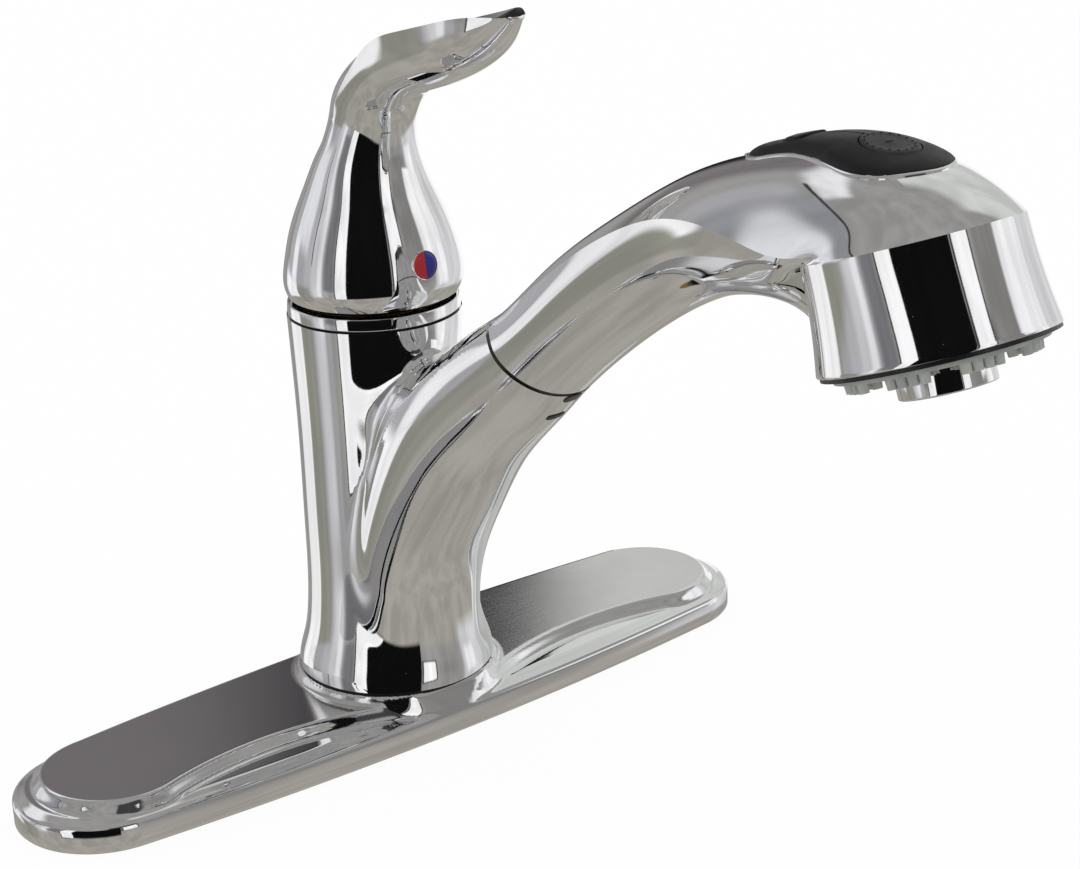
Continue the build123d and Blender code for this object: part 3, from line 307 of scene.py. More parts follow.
@dataclass
class Shell:
    """Rings of points that are joined into one skin."""

    rings: list[Array] = field(default_factory=list)
    finishes: list[int] = field(default_factory=list)

    def add(self, rings: Sequence[Array], finish: int = 0) -> "Shell":
        """Add rings to the skin.

        Args:
            rings: The new rings, each with as many points as the first ring.
            finish: Finish number of the faces that lead to each of them.

        Returns:
            The shell itself.
        """
        for one in rings:
            self.rings.append(np.asarray(one, float))
            self.finishes.append(finish)
        return self

    def faces(self, looped: bool = False) -> tuple[Array, list[tuple[int, ...]], list[int]]:
        """Turn the rings into a closed mesh.

        Args:
            looped: Whether the last ring is joined to the first, instead of both being filled.

        Returns:
            Vertices, faces and each face's finish number.
        """
        size = len(self.rings[0])
        points = np.vstack(self.rings)
        faces, numbers = [], []
        pairs = [(i, i + 1) for i in range(len(self.rings) - 1)]
        if looped:
            pairs.append((len(self.rings) - 1, 0))
        for first, second in pairs:
            for k in range(size):
                after = (k + 1) % size
                faces.append((first * size + k, first * size + after, second * size + after,
                              second * size + k))
            numbers += [self.finishes[second]] * size
        if not looped:
            for index in (0, len(self.rings) - 1):
                points = np.vstack([points, self.rings[index].mean(axis=0)])
                middle = len(points) - 1
                for k in range(size):
                    faces.append((index * size + k, middle, index * size + (k + 1) % size))
                numbers += [self.finishes[index]] * size
        return points, faces, numbers

    def tree(self) -> BVHTree:
        """Search tree of the skin."""
        points, faces, _ = self.faces()
        return BVHTree.FromPolygons(points.tolist(), faces)

    def piece(self, name: str, *finishes: "Finish", crisp: float = 32.0,
              looped: bool = False) -> bpy.types.Object:
        """Make the skin into a mesh piece.

        Args:
            name: Name of the piece.
            *finishes: Finishes that the finish numbers point to.
            crisp: Angle in degrees above which an edge stays sharp.
            looped: Whether the last ring is joined to the first.

        Returns:
            The linked object.
        """
        points, faces, numbers = self.faces(looped)
        return new_piece(name, points, faces, finishes, numbers, crisp)


def new_piece(name: str, points: Array, faces: Sequence[Sequence[int]], finishes: Sequence["Finish"],
              numbers: Sequence[int] = (), crisp: float = 32.0) -> bpy.types.Object:
    """Make a mesh piece from points in millimetres.

    Args:
        name: Name of the piece.
        points: Vertices, in millimetres.
        faces: Vertex numbers of each face.
        finishes: Finishes that the face numbers point to.
        numbers: Finish number of each face.
        crisp: Angle in degrees above which an edge stays sharp.

    Returns:
        The linked object.
    """
    mesh = bpy.data.meshes.new(name)
    mesh.from_pydata((np.asarray(points) * MM).tolist(), [], [tuple(f) for f in faces])
    for finish in finishes:
        mesh.materials.append(finish.material())
    if len(numbers):
        mesh.polygons.foreach_set("material_index", list(numbers))
    solid = bmesh.new()
    solid.from_mesh(mesh)
    bmesh.ops.remove_doubles(solid, verts=solid.verts, dist=WELD)
    bmesh.ops.dissolve_degenerate(solid, edges=solid.edges, dist=SLIVER)
    bmesh.ops.recalc_face_normals(solid, faces=solid.faces)
    solid.to_mesh(mesh)
    solid.free()
    return finish_piece(mesh, name, crisp)


def finish_piece(mesh: bpy.types.Mesh, name: str, crisp: float) -> bpy.types.Object:
    """Smooth a mesh up to an angle and link it as a piece.

    Args:
        mesh: The finished mesh.
        name: Name of the piece.
        crisp: Angle in degrees above which an edge stays sharp.

    Returns:
        The linked object.
    """
    mesh.shade_smooth()
    mesh.set_sharp_from_angle(angle=math.radians(crisp))
    return linked(name, mesh)


def linked(name: str, data: bpy.types.ID) -> bpy.types.Object:
    """Make an object of a mesh or a camera and link it to the scene.

    Args:
        name: Name of the object.
        data: Its mesh or camera.

    Returns:
        The object.
    """
    made = bpy.data.objects.new(name, data)
    bpy.context.scene.collection.objects.link(made)
    return made


def settle(piece: bpy.types.Object, body: Body, slot: str, *nodes: str) -> bpy.types.Object:
    """Set a piece on its body.

    Args:
        piece: The piece.
        body: The body that it rides on.
        slot: Its material slot; not used.
        *nodes: CAD nodes that it stands for.

    Returns:
        The piece.
    """
    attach(piece, body.value)
    if nodes:
        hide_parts(*nodes)
    LOG.info("%s: %d faces on %s", piece.name, len(piece.data.polygons), body.value)
    return piece


def circle(radius: float, height: float, count: int = 192) -> Array:
    """Level ring of points round the Z axis."""
    turn = np.linspace(0, 2 * np.pi, count, endpoint=False)
    return np.stack([radius * np.cos(turn), radius * np.sin(turn), np.full(count, height)], axis=1)


def lifted(flat: Array, height: Array | float) -> Array:
    """Plan places as points at one height or at their own heights."""
    return np.column_stack([flat, np.broadcast_to(height, len(flat))])


def turned(profile: Sequence[Pair], place: Callable[[Array], Array] | None = None,
           count: int = 192) -> Shell:
    """Closed ring-shaped skin of revolution.

    Args:
        profile: Closed row of (radius, height) corners.
        place: Turns points about Z into points of the object, if given.
        count: Points round each ring.

    Returns:
        The skin, whose last ring joins the first.
    """
    rings = [circle(radius, height, count) for radius, height in profile]
    return Shell().add([place(one) if place else one for one in rings])


def rounded(profile: Sequence[Triple], steps: int = 5) -> list[Pair]:
    """Round the corners of a closed profile.

    Args:
        profile: Corners as (radius, height, corner radius).
        steps: Points for each rounded corner.

    Returns:
        The rounded row of corners.
    """
    made: list[Pair] = []
    for i, (radius, height, size) in enumerate(profile):
        here = np.array([radius, height])
        ends = []
        for other in (profile[i - 1], profile[(i + 1) % len(profile)]):
            leg = np.array(other[:2]) - here
            ends.append(here + leg / np.linalg.norm(leg) * size)
        for w in np.linspace(0, 1, steps):
            point = (1 - w) ** 2 * ends[0] + 2 * w * (1 - w) * here + w**2 * ends[1]
            made.append((float(point[0]), float(point[1])))
    return made


def cut(piece: bpy.types.Object, cutter: bpy.types.Object, crisp: float = 40.0) -> None:
    """Take a cutter's form out of a piece, and remove the cutter.

    Args:
        piece: The piece that is cut.
        cutter: The form that is taken out.
        crisp: Angle in degrees above which an edge stays sharp.
    """
    step = piece.modifiers.new("hole", "BOOLEAN")
    step.operation = "DIFFERENCE"
    step.solver = "EXACT"
    step.object = cutter
    bpy.context.view_layer.update()
    made = bpy.data.meshes.new_from_object(piece.evaluated_get(bpy.context.evaluated_depsgraph_get()))
    piece.modifiers.clear()
    piece.data = made
    made.set_sharp_from_angle(angle=math.radians(crisp))
    bpy.data.objects.remove(cutter)


# Finishes


class Nodes:
    """Short way to add and join shader nodes."""

    def __init__(self, tree: bpy.types.NodeTree) -> None:
        """Start on an emptied node tree."""
        self.tree = tree
        tree.nodes.clear()

    def add(self, kind: str, **settings: object) -> bpy.types.Node:
        """Add a node.

        Args:
            kind: The node's type, without its first word.
            **settings: Its settings; one that starts with i_ feeds the input of that number or name.

        Returns:
            The node.
        """
        node = self.tree.nodes.new("ShaderNode" + kind)
        for key, value in settings.items():
            if key.startswith("i_"):
                name = key[2:]
                socket = node.inputs[int(name) if name.isdigit() else name.replace("_", " ")]
                self.feed(value, socket)
            else:
                setattr(node, key, value)
        return node

    def feed(self, value: object, socket: bpy.types.NodeSocket) -> None:
        """Join an output to a socket, or set the socket's own value.

        Args:
            value: The output or the value.
            socket: The socket that takes it.
        """
        if isinstance(value, bpy.types.NodeSocket):
            self.tree.links.new(value, socket)
        else:
            socket.default_value = value

    def math(self, operation: str, *values: object) -> bpy.types.NodeSocket:
        """Output of a Math node."""
        settings = {f"i_{i}": value for i, value in enumerate(values)}
        return self.add("Math", operation=operation, **settings).outputs[0]

    def step(self, value: object, low: float, high: float, first: float = 0.0,
             second: float = 1.0) -> bpy.types.NodeSocket:
        """Output that goes smoothly from first at low to second at high."""
        return self.add("MapRange", interpolation_type="SMOOTHSTEP", i_0=value, i_1=low, i_2=high,
                        i_3=first, i_4=second).outputs[0]

    def blend(self, share: object, first: object, second: object) -> bpy.types.NodeSocket:
        """Colour between two colours."""
        return self.add("Mix", data_type="RGBA", i_0=share, i_6=first, i_7=second).outputs[2]

    def noise(self, where: object, scale: float, detail: float = 2.0) -> bpy.types.NodeSocket:
        """Noise value at a place."""
        return self.add("TexNoise", i_Vector=where, i_Scale=scale, i_Detail=detail).outputs[0]


def rgb(red: float, green: float, blue: float) -> Colour:
    """Shader colour from a 0 to 255 screen colour.

    Args:
        red: Red channel.
        green: Green channel.
        blue: Blue channel.

    Returns:
        The linear colour, with full cover.
    """
    shares = (red / 255, green / 255, blue / 255)
    return (*(v / 12.92 if v <= 0.04045 else ((v + 0.055) / 1.055) ** 2.4 for v in shares), 1.0)


NOISE_LOW = 0.35
NOISE_HIGH = 0.65
CLOUD_SHARE = 0.6
SPECK_SCALE = 230.0
SPECK_ROUGHNESS = 0.5
GRAIN_HEIGHT = 0.0002


@dataclass(frozen=True)
class Finish:
    """A surface finish: one colour that wanders a little, and a grain."""

    name: str
    colour: Colour
    second: Colour
    metallic: float = 0.0
    smoothest: float = 0.3
    roughest: float = 0.5
    wander: float = 60.0
    grain: float = 1500.0
    depth: float = 0.05
    streak: float = 1.0
    specks: float = 0.0
    coat: float = 0.0
    gloss: float = 0.5

    def material(self) -> bpy.types.Material:
        """The finish's material, made the first time that it is asked for.

        Returns:
            The material.
        """
        known = bpy.data.materials.get(self.name)
        if known:
            return known
        material = bpy.data.materials.new(self.name)
        material.use_nodes = True
        nodes = Nodes(material.node_tree)
        where = nodes.add("TexCoord").outputs["Object"]
        stretched = nodes.add("Mapping", i_Vector=where, i_Scale=(self.streak, 1.0, 1.0)).outputs[0]
        cloud = nodes.noise(where, self.wander, 3.0)
        fine = nodes.noise(stretched, self.grain, 2.0)
        colour = nodes.blend(nodes.step(cloud, NOISE_LOW, NOISE_HIGH), self.colour, self.second)
        mixed = nodes.math("ADD", nodes.math("MULTIPLY", cloud, CLOUD_SHARE),
                           nodes.math("MULTIPLY", fine, 1 - CLOUD_SHARE))
        rough = nodes.step(mixed, NOISE_LOW, NOISE_HIGH, self.smoothest, self.roughest)
        if self.specks > 0:
            cells = nodes.add("TexVoronoi", i_Vector=where, i_Scale=SPECK_SCALE).outputs["Distance"]
            dust = nodes.step(cells, self.specks, self.specks * 0.6)
            rough = nodes.math("MAXIMUM", rough, nodes.math("MULTIPLY", dust, SPECK_ROUGHNESS))
        bump = nodes.add("Bump", i_Strength=self.depth, i_Distance=GRAIN_HEIGHT, i_Height=fine)
        shader = nodes.add("BsdfPrincipled", i_Metallic=self.metallic, i_Base_Color=colour,
                           i_Roughness=rough, i_Normal=bump.outputs[0])
        shader.inputs["Coat Weight"].default_value = self.coat
        shader.inputs["Specular IOR Level"].default_value = self.gloss
        nodes.add("OutputMaterial", i_Surface=shader.outputs[0])
        return material


CHROME = Finish("bright_chrome", rgb(247, 247, 248), rgb(240, 240, 242), 1.0, 0.03, 0.05, 25.0,
                1200.0, 0.004, specks=0.03)
SATIN = Finish("satin_chrome", rgb(232, 231, 231), rgb(226, 225, 226), 1.0, 0.13, 0.17, 25.0,
               2600.0, 0.04, streak=0.05)
BORE = Finish("cast_bore", rgb(150, 148, 143), rgb(118, 116, 112), 1.0, 0.45, 0.65, 90.0, 1400.0, 0.3)
SOFT_BLACK = Finish("soft_black_grip", rgb(27, 25, 27), rgb(22, 21, 23), 0.0, 0.42, 0.54, 120.0,
                    5200.0, 0.22, gloss=0.24)
BUTTON_BLACK = replace(SOFT_BLACK, name="soft_black_button", colour=rgb(52, 50, 52),
                       second=rgb(44, 42, 44))
BLACK_PLASTIC = Finish("black_moulding", rgb(24, 24, 25), rgb(18, 18, 19), 0.0, 0.3, 0.42, 100.0,
                       3000.0, 0.1)
BLACK_RUBBER = Finish("black_rubber_ring", rgb(20, 20, 20), rgb(14, 14, 15), 0.0, 0.5, 0.65, 90.0,
                      2600.0, 0.15)
WHITE_PLASTIC = Finish("white_moulding", rgb(222, 220, 214), rgb(212, 210, 204), 0.0, 0.35, 0.45,
                       80.0, 2500.0, 0.08)
GREY_RUBBER = Finish("grey_nozzle_rubber", rgb(166, 169, 163), rgb(152, 156, 150), 0.0, 0.4, 0.55,
                     160.0, 2800.0, 0.12)
FOAM = Finish("grey_foam", rgb(96, 97, 98), rgb(74, 75, 77), 0.0, 0.8, 0.95, 300.0, 1800.0, 0.6)
STEEL = Finish("plain_steel", rgb(178, 178, 176), rgb(150, 150, 149), 1.0, 0.28, 0.42, 120.0,
               2400.0, 0.15)
BRASS = Finish("turned_brass", rgb(196, 160, 92), rgb(176, 138, 72), 1.0, 0.22, 0.36, 90.0, 2600.0,
               0.15, streak=0.1)
CERAMIC = Finish("ground_ceramic", rgb(236, 233, 225), rgb(228, 224, 214), 0.0, 0.12, 0.2, 70.0,
                 2600.0, 0.03)
RED = Finish("red_enamel", rgb(176, 30, 34), rgb(160, 24, 30), 0.0, 0.16, 0.24, 200.0, 2600.0, 0.03,
             coat=0.4)
BLUE = replace(RED, name="blue_enamel", colour=rgb(34, 40, 126), second=rgb(28, 33, 110))
SLOT_FINISHES = {
    "chrome": CHROME, "white_plastic": WHITE_PLASTIC, "grey_foam": FOAM, "steel": STEEL,
    "black_plastic": BLACK_PLASTIC, "brass": BRASS, "black_rubber": BLACK_RUBBER,
    "soft_black": SOFT_BLACK, "ceramic": CERAMIC, "index_red": RED, "index_blue": BLUE,
    "grey_rubber": GREY_RUBBER,
}


def dress_nodes() -> None:
    """Give every carried-over CAD node the finish of its slot."""
    slots = {part["node"]: part["material_slot"] for part in frame["record"]["subparts"]}
    for name, node in frame["nodes"].items():
        node.data.materials.clear()
        node.data.materials.append(SLOT_FINISHES[slots[name]].material())
    LOG.info("dressed %d nodes", len(frame["nodes"]))


# Deck plate


@dataclass
class DeckPlate:
    """Hollow oval plate with a terrace, raised wings waisted in front and a round pedestal."""

    length: float = 260.0
    width: float = 62.8
    end_radius: float = 26.2
    wall: float = 2.2
    shoulder: float = 8.2
    shoulder_round: float = 2.0
    bank_start: float = 0.6
    bank_width: float = 3.0
    terrace: float = 9.4
    wing: float = 12.6
    wing_fade: Pair = (0.2, 5.2)
    lobe_x: float = 100.0
    lobe_radius: float = 21.3
    waist: float = 15.2
    riser: float = 3.0
    riser_lead: float = 0.6
    groove_gap: float = 0.3
    groove_width: float = 0.9
    groove_depth: float = 0.22
    pedestal_top: float = 15.2
    pedestal_radius: float = 30.4
    pedestal_foot: float = 32.4
    pedestal_fade: Pair = (-0.5, 4.5)
    satin_inset: float = 0.8
    satin_from_edge: float = 4.5
    satin_gap: float = 0.2
    side_heights: Pair = (4.0, 0.5)
    foot_inset: float = 0.4
    rim_steps: tuple[float, ...] = (0, 0.1, 0.25, 0.5, 0.8, 1.2, 1.6, 2.0, 2.5)
    first_step: float = 3.1
    last_step: float = 31.0
    step: float = 0.55
    around: int = 1080

    def side_arc(self) -> tuple[float, float]:
        """Radius of the long sides and the height of their centres."""
        a, b, r = self.length / 2, self.width / 2, self.end_radius
        radius = (a * a - 2 * a * r + b * b) / (2 * (b - r))
        return radius, b - radius

    def outline(self, inset: float) -> Array:
        """Oval of the plate.

        Args:
            inset: How much smaller it is drawn all round.

        Returns:
            (x, y) rows from the right-hand tip, which match those of any other inset.
        """
        radius, centre_y = self.side_arc()
        end_x = self.length / 2 - self.end_radius
        lean = math.atan2(-centre_y, end_x)
        quarter = self.around // 4
        tip = quarter // 3
        ends = np.linspace(0, lean, tip, endpoint=False)
        sides = np.linspace(lean, math.pi / 2, quarter - tip + 1)
        x = np.concatenate([end_x + (self.end_radius - inset) * np.cos(ends),
                            (radius - inset) * np.cos(sides)])
        y = np.concatenate([(self.end_radius - inset) * np.sin(ends),
                            centre_y + (radius - inset) * np.sin(sides)])
        upper = np.stack([np.concatenate([x, -x[-2::-1]]), np.concatenate([y, y[-2::-1]])], axis=1)
        return np.vstack([upper, (upper[1:-1] * [1, -1])[::-1]])

    def edge_distance(self, x: Array, y: Array) -> Array:
        """Distance of some places inside the oval.

        Args:
            x: Places along the plate.
            y: Places across the plate.

        Returns:
            Their distances from the plate's edge.
        """
        radius, centre_y = self.side_arc()
        end_x = self.length / 2 - self.end_radius
        x, y = abs(x), abs(y)
        in_end = (x - end_x) * -centre_y > y * end_x
        from_end = self.end_radius - np.hypot(x - end_x, y)
        from_side = radius - np.hypot(x, y - centre_y)
        return np.where((x > end_x) & (from_end < from_side + 5) & in_end, from_end, from_side)

    def wing_distance(self, x: Array, y: Array) -> Array:
        """Signed distance to the wings' outline, which is waisted in front.

        Args:
            x: Places along the plate.
            y: Places across the plate.

        Returns:
            Their distances, negative inside.
        """
        lobe, middle, waist = self.lobe_radius, self.pedestal_radius, self.waist
        span = self.lobe_x
        share = (middle - lobe) / span
        foot = (span**2 + middle**2 - lobe**2) / (2 * span)
        half = share * foot + waist - middle
        hollow = (-half - math.sqrt(half**2 - share**2 * (foot**2 + waist**2 - middle**2))) / share**2
        centre = np.array([foot + share * hollow, waist + hollow])
        behind = y > 0
        x, y = abs(x), abs(y)
        to_lobe = np.hypot(x - span, y) - lobe
        to_middle = np.hypot(x, y) - middle
        to_hollow = hollow - np.hypot(x - centre[0], y - centre[1])
        near = x * centre[1] < y * centre[0]
        far = (x - span) * centre[1] > y * (centre[0] - span)
        front = np.where(near, to_middle, np.where(far, to_lobe, to_hollow))
        terrace_width = self.edge_distance(np.array([span]), np.array([lobe]))[0]
        back = np.where(x > span, to_lobe, terrace_width - self.edge_distance(x, y))
        return np.where(behind, back, front)

    def height(self, x: Array, y: Array) -> Array:
        """Height of the plate's upper side.

        Args:
            x: Places along the plate.
            y: Places across the plate.

        Returns:
            Their heights.
        """
        inside, outline = self.edge_distance(x, y), self.wing_distance(x, y)
        rim = self.shoulder_round
        round_share = np.clip(inside / rim, 0, 1)
        edge = self.shoulder - rim + rim * np.sqrt(1 - (1 - round_share) ** 2)
        bank = smooth(inside, rim * self.bank_start, rim + self.bank_width)
        low = edge + (self.terrace - self.shoulder) * bank
        raised = 1 - smooth(outline, -self.riser_lead, self.riser)
        shown = smooth(inside, *self.wing_fade)
        groove = np.exp(-((outline - self.riser - self.groove_gap) / self.groove_width) ** 2)
        level = low + (self.wing - low) * raised * shown - self.groove_depth * groove * shown
        flare_width = self.pedestal_foot - self.pedestal_radius
        flare = np.clip((self.pedestal_foot - np.hypot(x, y)) / flare_width, 0, 1)
        pedestal = (self.pedestal_top - self.wing) * flare**2
        return level + pedestal * smooth(inside, *self.pedestal_fade)

    def build(self) -> bpy.types.Object:
        """Mesh the plate as one closed thin-walled skin.

        Returns:
            The piece.
        """
        rim, inner, foot = (self.outline(inset) for inset in (0.0, self.wall, self.foot_inset))
        span = self.length / 2 - self.end_radius
        axis = np.stack([np.clip(rim[:, 0] / (self.length / 2), -1, 1) * span,
                         np.zeros(len(rim))], axis=1)
        steps = np.concatenate([self.rim_steps, np.arange(self.first_step, self.last_step, self.step)])
        ceiling = self.terrace - self.wall
        shell = Shell()
        for share in (0.0, *(1 - steps[::-1] / (self.width / 2))):
            flat = axis + (rim - axis) * share
            shell.add([lifted(flat, self.height(flat[:, 0], flat[:, 1]))])
        shell.add([lifted(rim, height) for height in self.side_heights])
        shell.add([lifted(foot, 0.0)])
        shell.add([lifted(inner, 0.0), lifted(inner, ceiling), lifted(axis, ceiling)], 2)
        points, faces, numbers = self.skin(shell)
        piece = new_piece("deck_plate_skin", points, faces, (CHROME, SATIN, BORE), numbers, 40.0)
        return settle(piece, Body.BASE, "chrome", "deck_plate")

    def skin(self, shell: Shell) -> tuple[Array, list, list[int]]:
        """Join the plate's rings without end caps, and give the wings' flat top the satin finish.

        Args:
            shell: The plate's rings.

        Returns:
            Vertices, faces and each face's finish number.
        """
        points, faces, numbers = shell.faces()
        keep = [i for i, face in enumerate(faces) if len(face) == 4]
        faces = [faces[i] for i in keep]
        numbers = [numbers[i] for i in keep]
        x, y, z = points[np.array(faces)].mean(axis=1).T
        satin = (self.wing_distance(x, y) < -self.satin_inset) & (z > self.terrace)
        satin &= np.hypot(x, y) > self.pedestal_radius + self.satin_gap
        satin &= self.edge_distance(x, y) > self.satin_from_edge
        for i in np.flatnonzero(satin):
            numbers[i] = 1
        return points, faces, numbers


# Spout body


BEHIND_SEAM = Section(78.5, 110.0, 48, 34.0, (8.5, 32.8), (15.5, 28.5), (18.2, 18.0), (12.6, 5.2))
SEAM = Section(92.6, 123.3, 41, 29.5, (8.0, 28.4), (14.0, 25.5), (17.0, 16.5), (12.0, 5.0))
PAST_SEAM = Section(112.0, 139.0, 35, 29.5, (8.5, 28.4), (15.0, 24.6), (17.3, 16.0), (12.2, 5.0))
SEAM_NORMAL = ahead(50.0)


@dataclass
class SpoutBody:
    """Column and arm in one casting, with a smooth hollow where they meet."""

    column: tuple[Pair, ...] = ((29.97, 16.1), (29.6, 18.8), (27.75, 25.4), (26.1, 35.3), (25.5, 44.0),
                                (25.2, 61.0), (25.0, 92.0), (25.4, 113.0), (25.8, 127.4))
    column_ends: Pair = (11.0, 132.0)
    bore: float = 22.8
    bore_bottom: float = 33.0
    seat: float = 24.05
    seat_top: float = 31.0
    wall: float = 2.5
    mouth_depth: float = 17.0
    mouth_end: tuple[Pair, ...] = ((0.7, 24.0), (0.35, 30.0))
    arm_end: float = 6.9
    seam_place: float = 6.0
    voxel: float = 1.25
    rounds: int = 7
    evening: float = 0.6
    nudge: float = 0.02
    least_slope: float = 0.2
    table_rows: int = 150
    table_turns: int = 720
    top_reach: float = 36.0
    side_blend: float = 3.0
    crotch_blend: float = 16.0
    crotch_heights: Pair = (84.0, 112.0)
    underside_bow: float = 40.0
    key_size: Triple = (1.9, 3.8, 5.4)
    slot_size: Triple = (12.4, 2.6, 6.0)
    arm: CastForm = CastForm((
        Section(29.0, 18.0, 90, 24.0, (10.0, 22.6), (14.0, 19.0), (16.0, 11.0), (11.4, 3.4)),
        Section(28.8, 31.0, 86, 27.0, (10.0, 25.6), (16.5, 22.0), (18.6, 13.0), (13.6, 4.4)),
        Section(31.5, 50.0, 79, 30.0, (10.0, 28.6), (18.5, 25.0), (21.0, 15.0), (15.6, 5.2)),
        Section(43.5, 71.0, 69, 34.0, (9.5, 32.6), (19.0, 28.5), (21.6, 17.0), (15.4, 5.4)),
        Section(59.5, 92.0, 58, 37.0, (9.0, 35.6), (17.5, 31.0), (20.4, 18.5), (14.0, 5.4)),
        BEHIND_SEAM, SEAM, PAST_SEAM,
    ))

    def __post_init__(self) -> None:
        """Table how far the arm's skin is from each section's middle, all the way round."""
        self.column_curve = Curve([z for _, z in self.column], [r for r, _ in self.column])
        rows = self.arm.rows(np.linspace(0, self.arm_end, self.table_rows))
        self.rows = rows[:, :HEIGHT + 1]
        angles = np.linspace(-np.pi, np.pi, self.table_turns + 1)
        table = []
        for row in rows:
            points = self.arm.outline(row, 0.0)
            up = points[:, 1] - row[HEIGHT] / 2
            turn = np.arctan2(points[:, 0], up)
            order = np.argsort(turn)
            turn, reach = turn[order], np.hypot(points[:, 0], up)[order]
            turn = np.concatenate([turn[-3:] - 2 * np.pi, turn, turn[:3] + 2 * np.pi])
            reach = np.concatenate([reach[-3:], reach, reach[:3]])
            table.append(np.interp(angles, turn, reach))
        soft = np.array(table)
        for shift in (1, 2, 3):
            soft = soft + np.roll(table, shift, axis=1) + np.roll(table, -shift, axis=1)
        self.reach = soft / 7

    def column_radius(self, z: Array) -> Array:
        """Radius of the column at some heights."""
        return self.column_curve(np.clip(z, self.column[0][1], self.column[-1][1]))[:, 0]

    def arm_distance(self, points: Array) -> Array:
        """How far some points are outside the arm, along its sections.

        Args:
            points: (x, y, z) rows.

        Returns:
            Their distances, negative inside.
        """
        s, z = -points[:, 1], points[:, 2]
        lean = np.radians(self.rows[:, TILT])
        past = ((s[:, None] - self.rows[:, S]) * np.cos(lean)
                + (z[:, None] - self.rows[:, Z]) * np.sin(lean))
        i = np.clip((past > 0).sum(axis=1) - 1, 0, len(self.rows) - 2)
        k = np.arange(len(points))
        share = np.clip(past[k, i] / (past[k, i] - past[k, i + 1]), 0, 1)[:, None]
        row = self.rows[i] * (1 - share) + self.rows[i + 1] * share
        lean = np.radians(row[:, TILT])
        up = -(s - row[:, S]) * np.sin(lean) + (z - row[:, Z]) * np.cos(lean) - row[:, HEIGHT] / 2
        turn = (np.arctan2(points[:, 0], up) + np.pi) / (2 * np.pi) * self.table_turns
        j = np.clip(turn.astype(int), 0, self.table_turns - 1)
        w = turn - j
        share = share[:, 0]
        low = self.reach[i, j] * (1 - w) + self.reach[i, j + 1] * w
        high = self.reach[i + 1, j] * (1 - w) + self.reach[i + 1, j + 1] * w
        return np.hypot(points[:, 0], up) - (low * (1 - share) + high * share)

    def distance(self, points: Array) -> Array:
        """How far some points are outside the blended body.

        Args:
            points: (x, y, z) rows.

        Returns:
            Their distances, negative inside.
        """
        column = np.hypot(points[:, 0], points[:, 1]) - self.column_radius(points[:, 2])
        arm = self.arm_distance(points)
        high = smooth(points[:, 2], *self.crotch_heights)
        reach = self.side_blend + (self.crotch_blend - self.side_blend) * high
        near = np.clip(reach - abs(column - arm), 0, None) / reach
        return np.minimum(column, arm) - near * near * reach / 4

    def pulled(self, points: Array, edges: Array) -> Array:
        """Even out a rough skin and pull it onto the blended body.

        Args:
            points: Vertices of the rough skin.
            edges: Pairs of vertex numbers.

        Returns:
            The moved vertices.
        """
        degree = np.bincount(edges.ravel(), minlength=len(points))[:, None]
        nudge = self.nudge
        for index in range(self.rounds):
            total = np.zeros_like(points)
            for a, b in ((0, 1), (1, 0)):
                for axis in range(3):
                    total[:, axis] += np.bincount(edges[:, a], points[edges[:, b], axis], len(points))
            if index < self.rounds - 1:
                points = points + self.evening * (total / degree - points)
            for _ in range(2):
                here = self.distance(points)
                slope = np.stack([(self.distance(points + nudge * np.eye(3)[axis]) - here) / nudge
                                  for axis in range(3)], axis=1)
                size = (slope**2).sum(axis=1)
                points = points - (here / np.maximum(size, self.least_slope))[:, None] * slope
        return points

    def rough_skin(self) -> tuple[Array, Array, list]:
        """Melt the column and the arm into one even skin.

        Returns:
            Vertices, pairs of vertex numbers for the edges, and faces.
        """
        heights = np.linspace(*self.column_ends, 60)
        column = Shell().add([circle(r, z, 120) for r, z in zip(self.column_radius(heights), heights)])
        arm = Shell().add(self.arm.grid(0.0, self.arm_end, count=90)[:, ::2])
        merged = bpy.data.meshes.new("rough")
        points, faces = [], []
        for part in (column, arm):
            made, joined, _ = part.faces()
            faces += [tuple(i + len(points) for i in face) for face in joined]
            points += (made * MM).tolist()
        merged.from_pydata(points, [], faces)
        holder = linked("rough", merged)
        remesh = holder.modifiers.new("melt", "REMESH")
        remesh.mode = "VOXEL"
        remesh.voxel_size = self.voxel * MM
        melted = holder.evaluated_get(bpy.context.evaluated_depsgraph_get())
        skin = bpy.data.meshes.new_from_object(melted)
        corners = np.zeros(len(skin.vertices) * 3)
        skin.vertices.foreach_get("co", corners)
        pairs = np.zeros(len(skin.edges) * 2, int)
        skin.edges.foreach_get("vertices", pairs)
        polygons = [tuple(p.vertices) for p in skin.polygons]
        bpy.data.objects.remove(holder)
        return corners.reshape(-1, 3) / MM, pairs.reshape(-1, 2), polygons

    @staticmethod
    def cut_end(solid: bmesh.types.BMesh, origin: Array, normal: Array, reach: float) -> None:
        """Cut one end of the skin off by a plane.

        Args:
            solid: The skin.
            origin: Point on the plane.
            normal: Direction that is cut away.
            reach: How far from the column's axis the cut works.
        """
        near = [v for v in solid.verts if math.hypot(v.co.x, v.co.y) < reach * MM]
        known = set(near)
        parts = [e for e in solid.edges[:] + solid.faces[:] if known.issuperset(e.verts)]
        bmesh.ops.bisect_plane(solid, geom=near + parts, plane_co=origin * MM,
                               plane_no=normal, clear_outer=True, dist=SLIVER)

